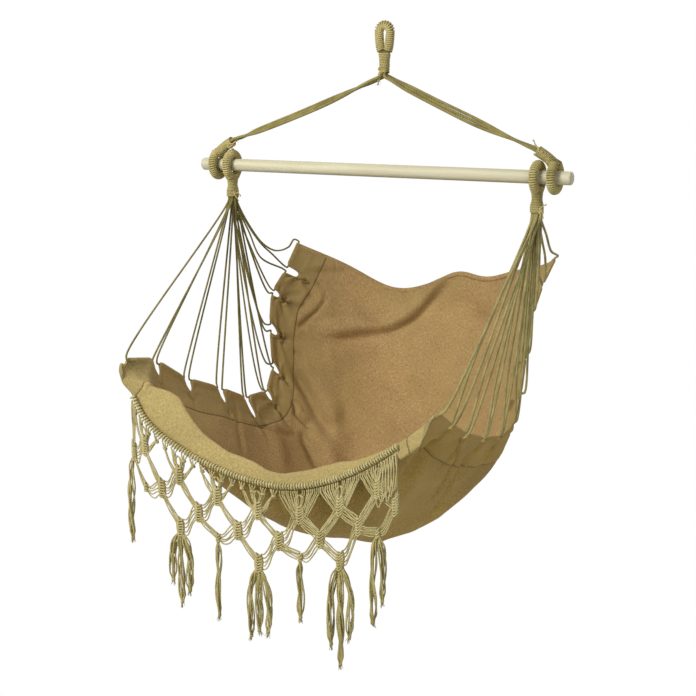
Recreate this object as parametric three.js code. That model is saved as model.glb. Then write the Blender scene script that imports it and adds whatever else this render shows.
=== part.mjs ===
// Hammock chair: a wound hanging loop, two suspension ropes, a wooden spreader bar in four rope eyes,
// two fans of cord loops, a canvas seat with tabbed side edges and a knotted fringe.
// Millimetres, Z up. X runs along the bar, Y towards the back of the seat.
// The origin is the place in the hanging loop where a hook bears.
import * as THREE from 'three';

// Clearances
const cordGap = 0.35; // between pieces that touch
const barClearance = 0.6; // bar to the wound eyes, all round
const eyeShift = 0.25; // upper rings bear on the bar from below, harness rings from above
const swingGap = 1.1; // where the loop swings over the tops of the suspension cords

// Spreader bar
const barLength = 900;
const barRadius = 14;
const barEdge = 4;
const barEdgeSteps = 3;
const barCentreX = -21;
const barHeight = -299;
const barSides = 24;

// Cords
const fanCordRadius = 1.8;
const fanCordSides = 5;
const ropeCordRadius = 2.7;
const ropeCordSides = 6;
const coreRadius = 3.2;
const coreSides = 6;
const coreSteps = 26;
const wrapRadius = 2.2;
const wrapSides = 5;
const wrapSteps = 6; // steps in one turn of a winding
const whipRadius = 1.6;
const whipSides = 4;
const whipSteps = 8;
const whipWidenShare = 0.35; // along a whipping, where it starts to grow to the bundle's width
const whipWideningShare = 0.3;

// Eyes round the bar
const eyeTurns = 10;
const eyeLegAngle = 50; // degrees from the neck axis where the ring becomes two legs
const eyeArcStep = 20; // degrees
const neckTaper = 12; // from the end of the winding to the whipping
const neckLength = 26;
const barLeft = barCentreX - barLength / 2;
const barRight = barCentreX + barLength / 2;
const upperEyeLeftInset = 41; // from the end of the bar
const upperEyeRightInset = 37;
const harnessEyeInset = 38; // from the upper eye, towards the middle
const upperEyeLeftX = barLeft + upperEyeLeftInset;
const upperEyeRightX = barRight - upperEyeRightInset;
const harnessEyeLeftX = upperEyeLeftX + harnessEyeInset;
const harnessEyeRightX = upperEyeRightX - harnessEyeInset;
const upperNeckLean = 58; // degrees from upright, towards the hanging loop
const upperWhipTurns = 4;
const neckWhipTurns = 5; // on the harness eyes and on the hanging loop

// Hanging loop
const slitWidth = 9; // inside the loop, across
const slitHeight = 32; // inside the loop, down from the hook
const loopTurns = 10;
const archSteps = 6;
const loopNeckLength = 38;

// Suspension ropes
const ropeCordCount = 3; // on each side
const ropeSag = 5;
const ropeSteps = 9;
const ropeTurn = 4.2; // below the loop's neck, before a cord leaves sideways
const ropeStraight = 8.1; // before a cord enters an eye's neck
const ropeUneven = 0.33; // how much the cords of one rope differ in sag

// Seat cloth
const clothThickness = 2.4;
const seatSpan = 405; // half the width that the edge shares follow
const seatReach = 405; // front to back
const seatDrop = 506; // downwards
const seatMiddleX = -17; // the point that the seat's shares are counted from
const seatMiddleY = 32;
const seatTop = barHeight - 3;
const tabCount = 10;
const tabShare = 0.075; // of the side edge, along one tab
const firstTabShare = 0.012;
const tabRootShare = 0.037; // of the cloth's width, depth of a tab
const clothColumns = 15;
const tunnelWall = 1.3;
// How the cloth sinks from a side edge to its middle line: powers of the distance from the middle
const openShare = 0.25; // of the length, from the front edge to where both halves sink alike
const sinkPower = 2.2;
const rightFrontPower = 1.8;
const leftFrontPower = 2;
const leftCornerPower = 14; // the left front corner stays high
const leftRoundShare = 0.56;
const lipHeight = 15; // rolled front hem
const lipFlap = 28; // how much wider the hem falls open near the left corner
const lipFlapShare = [0.13, 0.12]; // place and half width
const lipEndPower = 10; // how late the hem runs out towards the corners
const lipThrow = 7;
const frontShare = 0.12; // of the cloth's length that the hem lifts

// Fringe
const headerRadius = 3;
const headerSides = 6;
const headerSteps = 26;
const fringePanels = 7;
const fringeDepth = 3.6; // thickness of the net
const knotWidth = 13;
const knotHeight = 28;
const waistShare = 1 / 6; // of a knot's height, half its straight sides
const rowDrop = 57; // from one row of knots to the next
const strandWidth = 7;
const tasselRadius = 4.2;
const tasselSides = 6;
const tasselLength = 220; // the longest
const tasselSpread = 2.4; // how far side tassels stand off, in tassel widths

const up = new THREE.Vector3(0, 0, 1);
const sideways = new THREE.Vector3(1, 0, 0);
const backwards = new THREE.Vector3(0, 1, 0);
const vec = (x, y, z) => new THREE.Vector3(x, y, z);
const mix = (a, b, share) => a + (b - a) * share;
const fade = (share) => {
  const t = Math.min(Math.max(share, 0), 1);
  return t * t * (3 - 2 * t);
};
const bump = (value, centre, width) => Math.exp(-(((value - centre) / width) ** 2));

// Colours and finishes
const cordMaterial = new THREE.MeshStandardMaterial({ color: 0xa5966a, roughness: 0.95, metalness: 0 });
const canvasMaterial = new THREE.MeshStandardMaterial({ color: 0xa2875a, roughness: 0.95, metalness: 0 });
const woodMaterial = new THREE.MeshStandardMaterial({ color: 0xded6b8, roughness: 0.6, metalness: 0 });

const chair = new THREE.Group();

function addPiece(name, geometry, material) {
  const mesh = new THREE.Mesh(geometry, material);
  mesh.name = name;
  chair.add(mesh);
}

function geometryFrom(points, faces) {
  const geometry = new THREE.BufferGeometry();
  const places = points.flatMap((p) => [p.x, p.y, p.z]);
  geometry.setAttribute('position', new THREE.Float32BufferAttribute(places, 3));
  geometry.setIndex(faces.flat());
  geometry.computeVertexNormals();
  return geometry;
}

// A cord through given points: one closed tube with flat ends
function cordThrough(route, radius, sides) {
  const points = [];
  const faces = [];
  let normal = null;
  route.forEach((centre, i) => {
    const before = route[Math.max(i - 1, 0)];
    const after = route[Math.min(i + 1, route.length - 1)];
    const along = after.clone().sub(before).normalize();
    if (!normal) normal = Math.abs(along.z) < Math.SQRT1_2 ? up.clone() : sideways.clone();
    normal.addScaledVector(along, -normal.dot(along)).normalize();
    const binormal = new THREE.Vector3().crossVectors(along, normal);
    for (let k = 0; k < sides; k++) {
      const angle = (2 * Math.PI * k) / sides;
      points.push(centre.clone()
        .addScaledVector(normal, radius * Math.cos(angle))
        .addScaledVector(binormal, radius * Math.sin(angle)));
    }
  });
  const last = (route.length - 1) * sides;
  for (let i = 0; i < route.length - 1; i++) {
    for (let k = 0; k < sides; k++) {
      const next = (k + 1) % sides;
      const a = i * sides + k;
      const b = i * sides + next;
      faces.push([a, b, b + sides], [a, b + sides, a + sides]);
    }
  }
  for (let k = 1; k < sides - 1; k++) {
    faces.push([0, k + 1, k], [last, last + k, last + k + 1]);
  }
  return geometryFrom(points, faces);
}

const curveThrough = (points) => new THREE.CatmullRomCurve3(points, false, 'centripetal');
const smoothRoute = (points, steps) => curveThrough(points).getSpacedPoints(steps);

// Least gap between turns of one winding, measured on its points
function leastGap(route, radius, turnPoints) {
  let least = Infinity;
  for (let i = 0; i < route.length; i++) {
    for (let j = i + Math.ceil(turnPoints / 2); j < route.length - 1; j++) {
      const segment = new THREE.Line3(route[j], route[j + 1]);
      const nearest = segment.closestPointToPoint(route[i], true, new THREE.Vector3());
      least = Math.min(least, nearest.distanceTo(route[i]));
    }
  }
  return least - 2 * radius;
}

// Turns of a thin cord round a path. Both ends run straight for one diameter.
function windRound(name, path, side, turns, steps, radius, sides, distanceAt, phase) {
  const curve = curveThrough(path);
  const count = turns * steps;
  const route = [];
  for (let i = 0; i <= count; i++) {
    const share = i / count;
    const along = curve.getTangentAt(share);
    const across = side.clone().addScaledVector(along, -side.dot(along)).normalize();
    const outward = new THREE.Vector3().crossVectors(along, across);
    const angle = phase + (2 * Math.PI * i) / steps;
    route.push(curve.getPointAt(share)
      .addScaledVector(across, distanceAt(share) * Math.cos(angle))
      .addScaledVector(outward, distanceAt(share) * Math.sin(angle)));
  }
  const straightEnd = (from, to) => to.clone().addScaledVector(to.clone().sub(from).normalize(), 2 * radius);
  route.unshift(straightEnd(route[1], route[0]));
  route.push(straightEnd(route[route.length - 2], route[route.length - 1]));
  console.log(`${name}: least gap between turns ${leastGap(route, radius, steps).toFixed(2)} mm`);
  addPiece(name, cordThrough(route, radius, sides), cordMaterial);
}

// How far a wound cord's centre stands from the middle of what it goes round
const windDistance = (inner, radius, steps) => (inner + cordGap + radius) / Math.cos(Math.PI / steps);

const eyeWindDistance = windDistance(coreRadius, wrapRadius, wrapSteps);
const woundRadius = eyeWindDistance + wrapRadius;
const eyeRadius = barRadius + barClearance + woundRadius;
const legSpacing = coreRadius + cordGap / 2; // half the distance between the two legs in a neck

// Ring and legs of an eye, in the plane of its neck axis and Y, as [along the axis, sideways]
function eyeOutline(radius) {
  const legAngle = THREE.MathUtils.degToRad(eyeLegAngle);
  const legEnd = woundRadius + cordGap / 2;
  const legRun = (radius * Math.sin(legAngle) - legEnd) / Math.cos(legAngle);
  const outline = [[radius * Math.cos(legAngle) + legRun * Math.sin(legAngle), -legEnd]];
  for (let degrees = eyeLegAngle; degrees <= 360 - eyeLegAngle + 1; degrees += eyeArcStep) {
    const angle = THREE.MathUtils.degToRad(degrees);
    outline.push([radius * Math.cos(angle), -radius * Math.sin(angle)]);
  }
  outline.push([outline[0][0], legEnd]);
  return outline;
}

const eyeLegReach = eyeOutline(eyeRadius)[0][0];
const neckStart = eyeLegReach + neckTaper;

// One eye: core, winding and the whipping on its neck
function addEye(name, x, shift, lean, whipTurns, bundleRadius) {
  const axis = vec(Math.sin(lean), 0, Math.cos(lean));
  const centre = vec(x, 0, barHeight + shift);
  const ringAxis = vec(0, 0, Math.sign(axis.z));
  const ring = eyeOutline(eyeRadius).map(([reach, aside]) => (
    centre.clone().addScaledVector(ringAxis, reach).addScaledVector(backwards, aside)));
  const neckRoot = centre.clone().addScaledVector(ringAxis, eyeLegReach + neckTaper / 2)
    .addScaledVector(sideways, axis.x * neckTaper / 2);
  const neckAt = (reach, aside) => neckRoot.clone()
    .addScaledVector(axis, neckTaper / 2 + reach).addScaledVector(backwards, aside);
  const legs = [neckLength, neckLength / 2, 0];
  const core = [
    ...legs.map((reach) => neckAt(reach, -legSpacing)),
    ...ring,
    ...legs.reverse().map((reach) => neckAt(reach, legSpacing)),
  ];
  addPiece(`${name}_core`, cordThrough(smoothRoute(core, coreSteps), coreRadius, coreSides), cordMaterial);
  windRound(`${name}_winding`, ring, sideways, eyeTurns, wrapSteps, wrapRadius, wrapSides,
    () => eyeWindDistance, Math.PI / 2);
  const pairDistance = windDistance(legSpacing + coreRadius, whipRadius, whipSteps);
  const bundleDistance = windDistance(bundleRadius, whipRadius, whipSteps);
  const whipPath = [neckAt(0, 0), neckAt(neckLength / 2, 0), neckAt(neckLength + bundleOverlap, 0)];
  windRound(`${name}_whipping`, whipPath, backwards, whipTurns, whipSteps, whipRadius, whipSides,
    (share) => mix(pairDistance, Math.max(pairDistance, bundleDistance),
      fade((share - whipWidenShare) / whipWideningShare)), 0);
  return { axis, end: neckAt(neckLength + cordGap, 0) };
}

const bundleOverlap = 9; // how far a whipping reaches over the cords below it

// The twenty fan cords lie in rows in a neck, front to back
const bundleRows = [3, 5, 4, 5, 3];
const rowGap = 0.525;
const columnGap = 0.7;
const rowSpacing = 2 * fanCordRadius + rowGap;
const cordSpacing = 2 * fanCordRadius + columnGap;
const fanBundleRadius = fanCordRadius + Math.max(...bundleRows.map((count, i) => (
  Math.hypot((cordSpacing * (count - 1)) / 2, rowSpacing * (i - (bundleRows.length - 1) / 2)))));

const ropeSpacing = 2 * ropeCordRadius + cordGap;
const ropeBundleRadius = ropeSpacing * (ropeCordCount - 1) / 2 + ropeCordRadius;

const upperLean = THREE.MathUtils.degToRad(upperNeckLean);
const addUpperEye = (side, x, lean) => (
  addEye(`upper_eye_${side}`, x, eyeShift, lean, upperWhipTurns, ropeBundleRadius));
const addHarnessEye = (side, x) => (
  addEye(`harness_eye_${side}`, x, -eyeShift, Math.PI, neckWhipTurns, fanBundleRadius));
const eyes = {
  upperLeft: addUpperEye('left', upperEyeLeftX, upperLean),
  upperRight: addUpperEye('right', upperEyeRightX, -upperLean),
  harnessLeft: addHarnessEye('left', harnessEyeLeftX),
  harnessRight: addHarnessEye('right', harnessEyeRightX),
};

// Spreader bar
function barGeometry() {
  const half = barLength / 2;
  const profile = [new THREE.Vector2(0, -half)];
  for (let i = 0; i <= barEdgeSteps; i++) {
    const angle = (Math.PI / 2) * (i / barEdgeSteps);
    profile.push(new THREE.Vector2(
      barRadius - barEdge + barEdge * Math.sin(angle),
      -half + barEdge - barEdge * Math.cos(angle)));
  }
  const mirrored = profile.map((p) => new THREE.Vector2(p.x, -p.y)).reverse();
  const geometry = new THREE.LatheGeometry([...profile, ...mirrored], barSides);
  geometry.rotateZ(-Math.PI / 2);
  geometry.translate(barCentreX, 0, barHeight);
  return geometry;
}
addPiece('spreader_bar', barGeometry(), woodMaterial);

// Hanging loop: a slender eye for the hook with a wound core, then a whipped neck
const loopRadius = slitWidth / 2 + woundRadius;
const loopLegEnd = -(slitHeight + woundRadius);
const loopNeckStart = loopLegEnd - neckTaper;
const loopNeckEnd = loopNeckStart - loopNeckLength / 2;
function addHangingLoop() {
  const archCentre = -slitWidth / 2;
  const [legLow, legMiddle] = [loopLegEnd + wrapRadius, (loopLegEnd + archCentre) / 2];
  const wound = [vec(-loopRadius, 0, legLow), vec(-loopRadius, 0, legMiddle)];
  for (let i = 0; i <= archSteps; i++) {
    const angle = Math.PI * (1 - i / archSteps);
    wound.push(vec(loopRadius * Math.cos(angle), 0, archCentre + loopRadius * Math.sin(angle)));
  }
  wound.push(vec(loopRadius, 0, legMiddle), vec(loopRadius, 0, legLow));
  const legAt = (x, z) => vec(x, 0, z);
  const core = [
    legAt(-legSpacing, loopNeckEnd), legAt(-legSpacing, loopNeckStart), ...wound,
    legAt(legSpacing, loopNeckStart), legAt(legSpacing, loopNeckEnd),
  ];
  const coreRoute = smoothRoute(core, coreSteps);
  addPiece('hanging_loop_core', cordThrough(coreRoute, coreRadius, coreSides), cordMaterial);
  windRound('hanging_loop_winding', wound, backwards, loopTurns, wrapSteps, wrapRadius, wrapSides,
    () => eyeWindDistance, -Math.PI / 2);
  const inner = Math.hypot(ropeSpacing / 2, ropeSpacing * (ropeCordCount - 1) / 2) + ropeCordRadius;
  const distance = windDistance(inner, whipRadius, whipSteps);
  const whipPath = [0, 0.5, 1].map((share) => vec(0, 0, loopNeckStart - loopNeckLength * share));
  windRound('hanging_loop_whipping', whipPath, sideways, neckWhipTurns, whipSteps, whipRadius, whipSides,
    () => distance, 0);
}
addHangingLoop();

// Suspension ropes: loose cords from the loop's neck to the necks of the upper eyes
function addSuspensionRope(side, sign, eye) {
  const neckBottom = loopNeckStart - loopNeckLength;
  for (let i = 0; i < ropeCordCount; i++) {
    const rank = i - (ropeCordCount - 1) / 2;
    const aside = rank * ropeSpacing;
    const start = vec(sign * ropeSpacing / 2, aside, loopNeckEnd - swingGap);
    const turn = vec(start.x, aside, neckBottom - ropeTurn);
    const leave = turn.clone().add(vec(sign * ropeTurn, 0, -ropeTurn));
    const end = eye.end.clone().add(vec(0, aside, 0));
    const enter = end.clone().addScaledVector(eye.axis, bundleOverlap + ropeStraight);
    const span = [];
    for (let k = 0; k <= ropeSteps; k++) {
      const share = k / ropeSteps;
      const belly = 4 * share * (1 - share) * ropeSag;
      span.push(leave.clone().lerp(enter, share).add(vec(0, rank * belly, -belly * (1 + rank * ropeUneven))));
    }
    addPiece(`suspension_cord_${side}_${i + 1}`,
      cordThrough([start, turn, ...span, end], ropeCordRadius, ropeCordSides), cordMaterial);
  }
}
addSuspensionRope('left', -1, eyes.upperLeft);
addSuspensionRope('right', 1, eyes.upperRight);

// A place on the seat from its shares of seatSpan, seatReach and seatDrop
const seatPlace = (x, y, drop) => (
  vec(seatMiddleX + seatSpan * x, seatMiddleY + seatReach * y, seatTop - seatDrop * drop));

// Seat cloth. Its lines are shares: of the side's length, across, backwards, downwards.
const leftEdgeShares = [
  [0, -0.995, -1.03, 0.774], [0.09, -0.98, -0.812, 0.802], [0.2, -0.948, -0.54, 0.916],
  [0.3, -0.92, -0.262, 1.002], [0.4, -0.895, -0.038, 1.078], [0.5, -0.88, 0.165, 1.084],
  [0.58, -0.88, 0.25, 1.01], [0.665, -0.9, 0.275, 0.872], [0.735, -0.912, 0.287, 0.738],
  [0.8, -0.912, 0.312, 0.632], [0.895, -0.897, 0.425, 0.542], [1, -0.885, 0.57, 0.408],
];
const rightEdgeShares = [
  [0, 0.832, -1.062, 0.82], [0.09, 0.8, -0.838, 0.898], [0.2, 0.772, -0.588, 0.986],
  [0.3, 0.745, -0.312, 1.058], [0.4, 0.74, -0.1, 1.092], [0.5, 0.74, 0.1, 1.07],
  [0.58, 0.73, 0.2, 1], [0.665, 0.732, 0.248, 0.866], [0.735, 0.74, 0.275, 0.742],
  [0.8, 0.752, 0.305, 0.624], [0.895, 0.762, 0.4, 0.51], [1, 0.782, 0.538, 0.398],
];
const middleShares = [
  [0, -1.012, 1.204], [0.1, -0.88, 1.372], [0.2, -0.655, 1.498], [0.3, -0.375, 1.566],
  [0.4, -0.075, 1.586], [0.5, 0.225, 1.542], [0.6, 0.462, 1.412], [0.7, 0.612, 1.212],
  [0.8, 0.712, 0.992], [0.9, 0.795, 0.778], [1, 0.84, 0.575],
];
const slopeStep = 0.01; // share over which the slope of the cloth is taken
// Soft folds: [across, along, half width across, half width along, turn in degrees, height]
const foldHeight = 14;
const foldShares = [
  [0.36, 0.83, 0.26, 0.035, -16, 1], [0.62, 0.9, 0.1, 0.06, 0, -0.8], [0.2, 0.62, 0.05, 0.16, 20, 0.8],
  [0.12, 0.42, 0.13, 0.03, -30, 0.7], [0.86, 0.55, 0.12, 0.035, 35, 0.9], [0.8, 0.25, 0.12, 0.035, -25, 0.7],
];
// Waves of the top edge: [across, half width, height]
const topWaveHeight = 30;
const topWaveStart = 0.8; // share of the length
const topWaveEndPower = 6;
const topWaveShares = [[0.32, 0.135, -1.05], [0.576, 0.09, 0.87], [0.816, 0.135, 0.5]];

// Smooth value of a table at a share of its first column
function lineAt(table, share) {
  const last = table.length - 2;
  let i = 0;
  while (i < last && table[i + 1][0] < share) i++;
  const [p1, p2] = [table[i], table[i + 1]];
  const p0 = table[i - 1] ?? p1;
  const p3 = table[i + 2] ?? p2;
  const span = p2[0] - p1[0];
  const t = (share - p1[0]) / span;
  return p1.slice(1).map((value, k) => {
    const from = ((p2[k + 1] - p0[k + 1]) / (p2[0] - p0[0])) * span;
    const to = ((p3[k + 1] - p1[k + 1]) / (p3[0] - p1[0])) * span;
    const near = (2 * t ** 3 - 3 * t ** 2 + 1) * value + (t ** 3 - 2 * t ** 2 + t) * from;
    return near + (3 * t ** 2 - 2 * t ** 3) * p2[k + 1] + (t ** 3 - t ** 2) * to;
  });
}

// How far the cloth has sunk from its side edge towards its middle line
function sinkShare(across, along) {
  const w = Math.abs(across);
  const open = fade(along / openShare);
  if (across >= 0) return 1 - w ** mix(rightFrontPower, sinkPower, open);
  const round = mix(leftRoundShare, 1, open);
  return 1 - round * w ** mix(leftFrontPower, sinkPower, open) - (1 - round) * w ** leftCornerPower;
}

function hemRise(across) {
  const flap = lipFlap * bump(across, ...lipFlapShare);
  return (lipHeight + flap) * (1 - Math.abs(2 * across - 1) ** lipEndPower);
}

// Middle surface of the cloth before its folds
function drape(across, along) {
  const left = lineAt(leftEdgeShares, along);
  const right = lineAt(rightEdgeShares, along);
  const middle = lineAt(middleShares, along);
  const side = across < 0.5 ? left : right;
  const sink = sinkShare(2 * across - 1, along);
  const waves = topWaveShares.reduce((sum, [at, width, height]) => sum + height * bump(across, at, width), 0);
  const place = seatPlace(
    mix(left[0], right[0], across), mix(side[1], middle[0], sink), mix(side[2], middle[1], sink));
  place.z += topWaveHeight * waves * fade((along - topWaveStart) / (1 - topWaveStart))
    * (1 - Math.abs(2 * across - 1) ** topWaveEndPower);
  return place;
}

// Cloth surface with the front hem raised and the folds laid in
function clothAt(across, along) {
  const point = drape(across, along);
  const front = 1 - fade(along / frontShare);
  point.y += lipThrow * front;
  point.z += hemRise(across) * front;
  const fromEdge = Math.min(across, 1 - across);
  const inner = fade((fromEdge - tabRootShare) / tabRootShare);
  let height = 0;
  for (const [at, alongAt, wide, long, turn, size] of foldShares) {
    const angle = THREE.MathUtils.degToRad(turn);
    const du = (across - at) * Math.cos(angle) + (along - alongAt) * Math.sin(angle);
    const dv = (along - alongAt) * Math.cos(angle) - (across - at) * Math.sin(angle);
    height += size * bump(du, 0, wide) * bump(dv, 0, long);
  }
  const du = drape(across + slopeStep, along).sub(drape(across - slopeStep, along));
  const dv = drape(across, Math.min(along + slopeStep, 1)).sub(drape(across, Math.max(along - slopeStep, 0)));
  return point.addScaledVector(du.cross(dv).normalize(), foldHeight * height * inner * (1 - front));
}

// Tabs along the side edges, as shares of the side's length
const notchShare = (1 - firstTabShare - tabCount * tabShare) / (tabCount - 1);
const tabs = Array.from({ length: tabCount }, (_, i) => {
  const start = firstTabShare + i * (tabShare + notchShare);
  return [start, start + tabShare];
});

const tunnelRadius = fanCordRadius + cordGap;
const tunnelHalf = tunnelRadius * Math.SQRT2; // half diagonal of the square channel
const hemHalf = tunnelHalf + tunnelWall * Math.SQRT2;

// The straight tunnel of a tab: its two ends, its direction, outward direction and face normal
function tabTunnel(sign, [start, end]) {
  const edge = sign < 0 ? 0 : 1;
  const root = sign < 0 ? tabRootShare : 1 - tabRootShare;
  const ends = [start, end].map((along) => clothAt(edge, along));
  const run = ends[1].clone().sub(ends[0]).normalize();
  const out = [start, end].reduce((sum, along, k) => (
    sum.add(ends[k].clone().sub(clothAt(root, along)).normalize())), vec(0, 0, 0));
  out.addScaledVector(run, -out.dot(run)).normalize();
  const normal = run.clone().cross(out).multiplyScalar(-sign);
  return { ends, run, out, normal };
}

function clothGeometry() {
  const rows = [null, 0, ...tabs.flat()];
  const columns = Array.from({ length: clothColumns + 1 }, (_, i) => (
    mix(tabRootShare, 1 - tabRootShare, i / clothColumns)));
  const grid = rows.map((along) => columns.map((across) => (
    along === null ? drape(across, 0) : clothAt(across, along))));
  const points = [];
  const faces = [];
  const add = (point) => points.push(point) - 1;
  const quad = (a, b, c, d, flip = false) => (flip
    ? faces.push([a, c, b], [a, d, c]) : faces.push([a, b, c], [a, c, d]));
  const normalAt = (r, c) => {
    const du = grid[r][Math.min(c + 1, clothColumns)].clone().sub(grid[r][Math.max(c - 1, 0)]);
    const dv = grid[Math.min(r + 1, rows.length - 1)][c].clone().sub(grid[Math.max(r - 1, 0)][c]);
    return du.cross(dv).normalize();
  };
  const half = clothThickness / 2;
  const face = (lift) => grid.map((row, r) => row.map((point, c) => (
    add(point.clone().addScaledVector(normalAt(r, c), lift)))));
  const top = face(half);
  const bottom = face(-half);
  const lastRow = rows.length - 1;
  for (let c = 0; c < clothColumns; c++) {
    for (let r = 0; r < lastRow; r++) {
      quad(top[r][c], top[r][c + 1], top[r + 1][c + 1], top[r + 1][c]);
      quad(bottom[r][c], bottom[r][c + 1], bottom[r + 1][c + 1], bottom[r + 1][c], true);
    }
    quad(top[0][c], bottom[0][c], bottom[0][c + 1], top[0][c + 1]);
    quad(top[lastRow][c], top[lastRow][c + 1], bottom[lastRow][c + 1], bottom[lastRow][c]);
  }
  for (const sign of [-1, 1]) {
    const column = sign < 0 ? 0 : clothColumns;
    const flip = sign > 0;
    const sections = rows.map((along, r) => {
      const ends = [top[r][column], bottom[r][column]];
      if (r < 2) return { outer: ends };
      const tunnel = tabTunnel(sign, tabs[Math.floor((r - 2) / 2)]);
      const centre = tunnel.ends[r % 2];
      const place = (reach, rise) => add(centre.clone()
        .addScaledVector(tunnel.out, reach).addScaledVector(tunnel.normal, rise));
      const hem = hemHalf + clothThickness;
      return {
        outer: [ends[0], place(-hem, half), place(0, hemHalf), place(hemHalf, 0), place(0, -hemHalf),
          place(-hem, -half), ends[1]],
        hole: [place(-tunnelHalf, 0), place(0, tunnelHalf), place(tunnelHalf, 0), place(0, -tunnelHalf)],
      };
    });
    const endFace = (section, turned) => {
      const [a0, b0, n0, tip, n1, b1, a1] = section.outer;
      const [inner, high, outer, low] = section.hole;
      quad(b0, n0, high, inner, turned);
      quad(n0, tip, outer, high, turned);
      quad(tip, n1, low, outer, turned);
      quad(n1, b1, inner, low, turned);
      faces.push(turned ? [b1, inner, b0] : [b1, b0, inner]);
      quad(a0, b0, b1, a1, turned);
    };
    for (let r = 0; r < lastRow; r++) {
      const isTab = r >= 2 && r % 2 === 0;
      const here = isTab ? sections[r].outer : [top[r][column], bottom[r][column]];
      const next = isTab ? sections[r + 1].outer : [top[r + 1][column], bottom[r + 1][column]];
      for (let k = 0; k < here.length - 1; k++) quad(here[k], next[k], next[k + 1], here[k + 1], flip);
      if (!isTab) continue;
      const [holeHere, holeNext] = [sections[r].hole, sections[r + 1].hole];
      for (let k = 0; k < 4; k++) {
        const after = (k + 1) % 4;
        quad(holeHere[k], holeHere[after], holeNext[after], holeNext[k], flip);
      }
      endFace(sections[r], flip);
      endFace(sections[r + 1], !flip);
    }
  }
  return geometryFrom(points, faces);
}
addPiece('seat_cloth', clothGeometry(), canvasMaterial);

// Fan cords: each goes from the neck through one tab's tunnel and back up
const tunnelExit = 5.6; // straight run past a tab before the cord turns
const cordRise = 11.7; // how far a cord that leans over its tab first stands off from it
const cordAside = 4; // half the distance between two cords that rise along the edge
const edgeSlant = 0.55; // share of a cord's pull along the edge from which it counts as along
const slantSpan = 0.3;
const tabSlant = 0.25;
const tunnelShares = [0.15, 0.5, 0.85]; // points of a cord inside a tab
const bundleDrop = bundleOverlap + 4;

// Hand laid routes of the three slack cords at the top of the left fan, from the neck to the tab, as shares
const slackShares = [
  [[-0.972, 0.165, 0.294], [-0.96, 0.29, 0.388], [-0.94, 0.405, 0.43], [-0.915, 0.505, 0.42]],
  [[-0.96, 0.142, 0.298], [-0.945, 0.25, 0.386], [-0.928, 0.338, 0.44]],
  [[-0.952, 0.125, 0.318], [-0.935, 0.215, 0.442]],
];
const slackRoutes = slackShares.map((route) => route.map((place) => seatPlace(...place)));

function fanRoutes(sign, eye) {
  const legs = [];
  tabs.forEach((tab) => {
    const { ends, run, out, normal } = tabTunnel(sign, tab);
    ends.forEach((centre, k) => {
      const direction = k === 0 ? -1 : 1;
      const away = run.clone().multiplyScalar(direction);
      const pull = eye.end.clone().sub(centre);
      const slant = pull.dot(run) / pull.length();
      const alongEdge = fade((Math.abs(slant) - edgeSlant) / slantSpan);
      const overTab = fade((tabSlant - slant * direction) / (2 * tabSlant));
      const mouth = centre.clone().addScaledVector(away, tunnelExit / 2);
      const exit = centre.clone().addScaledVector(away, tunnelExit);
      const free = exit.clone()
        .addScaledVector(out, cordRise * Math.max(overTab, alongEdge) + fanCordRadius)
        .addScaledVector(normal, direction * cordAside * alongEdge);
      legs.push({ centre, mouth, exit, free });
    });
  });
  const slope = (leg) => leg.free.y / (eye.end.z - bundleDrop - leg.free.z);
  const order = [...legs].sort((p, q) => slope(p) - slope(q));
  bundleRows.forEach((count, i) => {
    const row = order.splice(0, count).sort((p, q) => p.free.x - q.free.x);
    row.forEach((leg, k) => {
      const x = eye.end.x + cordSpacing * (k - (count - 1) / 2);
      const y = rowSpacing * (i - (bundleRows.length - 1) / 2);
      leg.top = vec(x, y, eye.end.z);
      leg.bend = vec(x, y, eye.end.z - bundleDrop);
    });
  });
  return legs;
}

function addFan(side, sign, eye) {
  const legs = fanRoutes(sign, eye);
  tabs.forEach((_, i) => {
    const [a, b] = legs.slice(2 * i, 2 * i + 2);
    const descend = (leg, slack) => [leg.top, leg.bend, ...slack, leg.free, leg.exit, leg.mouth];
    const slackOf = (leg) => (sign < 0 ? slackRoutes[legs.length - 1 - legs.indexOf(leg)] ?? [] : []);
    const inside = tunnelShares.map((share) => a.centre.clone().lerp(b.centre, share));
    const route = [...descend(a, slackOf(a)), ...inside, ...descend(b, slackOf(b)).reverse()];
    addPiece(`fan_cord_${side}_${i + 1}`, cordThrough(route, fanCordRadius, fanCordSides), cordMaterial);
  });
}
addFan('left', -1, eyes.harnessLeft);
addFan('right', 1, eyes.harnessRight);

// Fringe: header cord in front of the hem, net and tassels below it
const fringeStartShare = 0.03;
const fringeEndShare = 0.89;
const headerAhead = clothThickness / 2 + headerRadius;
const hemLine = (across) => drape(across, 0).add(vec(0, -headerAhead, 0));
const headerPoints = Array.from({ length: headerSteps + 1 }, (_, i) => (
  hemLine(mix(fringeStartShare, fringeEndShare, i / headerSteps))));
addPiece('fringe_header_cord', cordThrough(headerPoints, headerRadius, headerSides), cordMaterial);

// Place in the net: distance along the header, drop below it, and depth
const headerCurve = curveThrough(headerPoints);
const headerLength = headerCurve.getLength();
const netTop = headerRadius + 3 * cordGap;
function netPlace(along, drop, depth) {
  const share = along / headerLength;
  const below = headerCurve.getTangentAt(share).cross(backwards).setY(0).normalize();
  return headerCurve.getPointAt(share).addScaledVector(below, -netTop).add(vec(0, depth, -drop));
}

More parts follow.
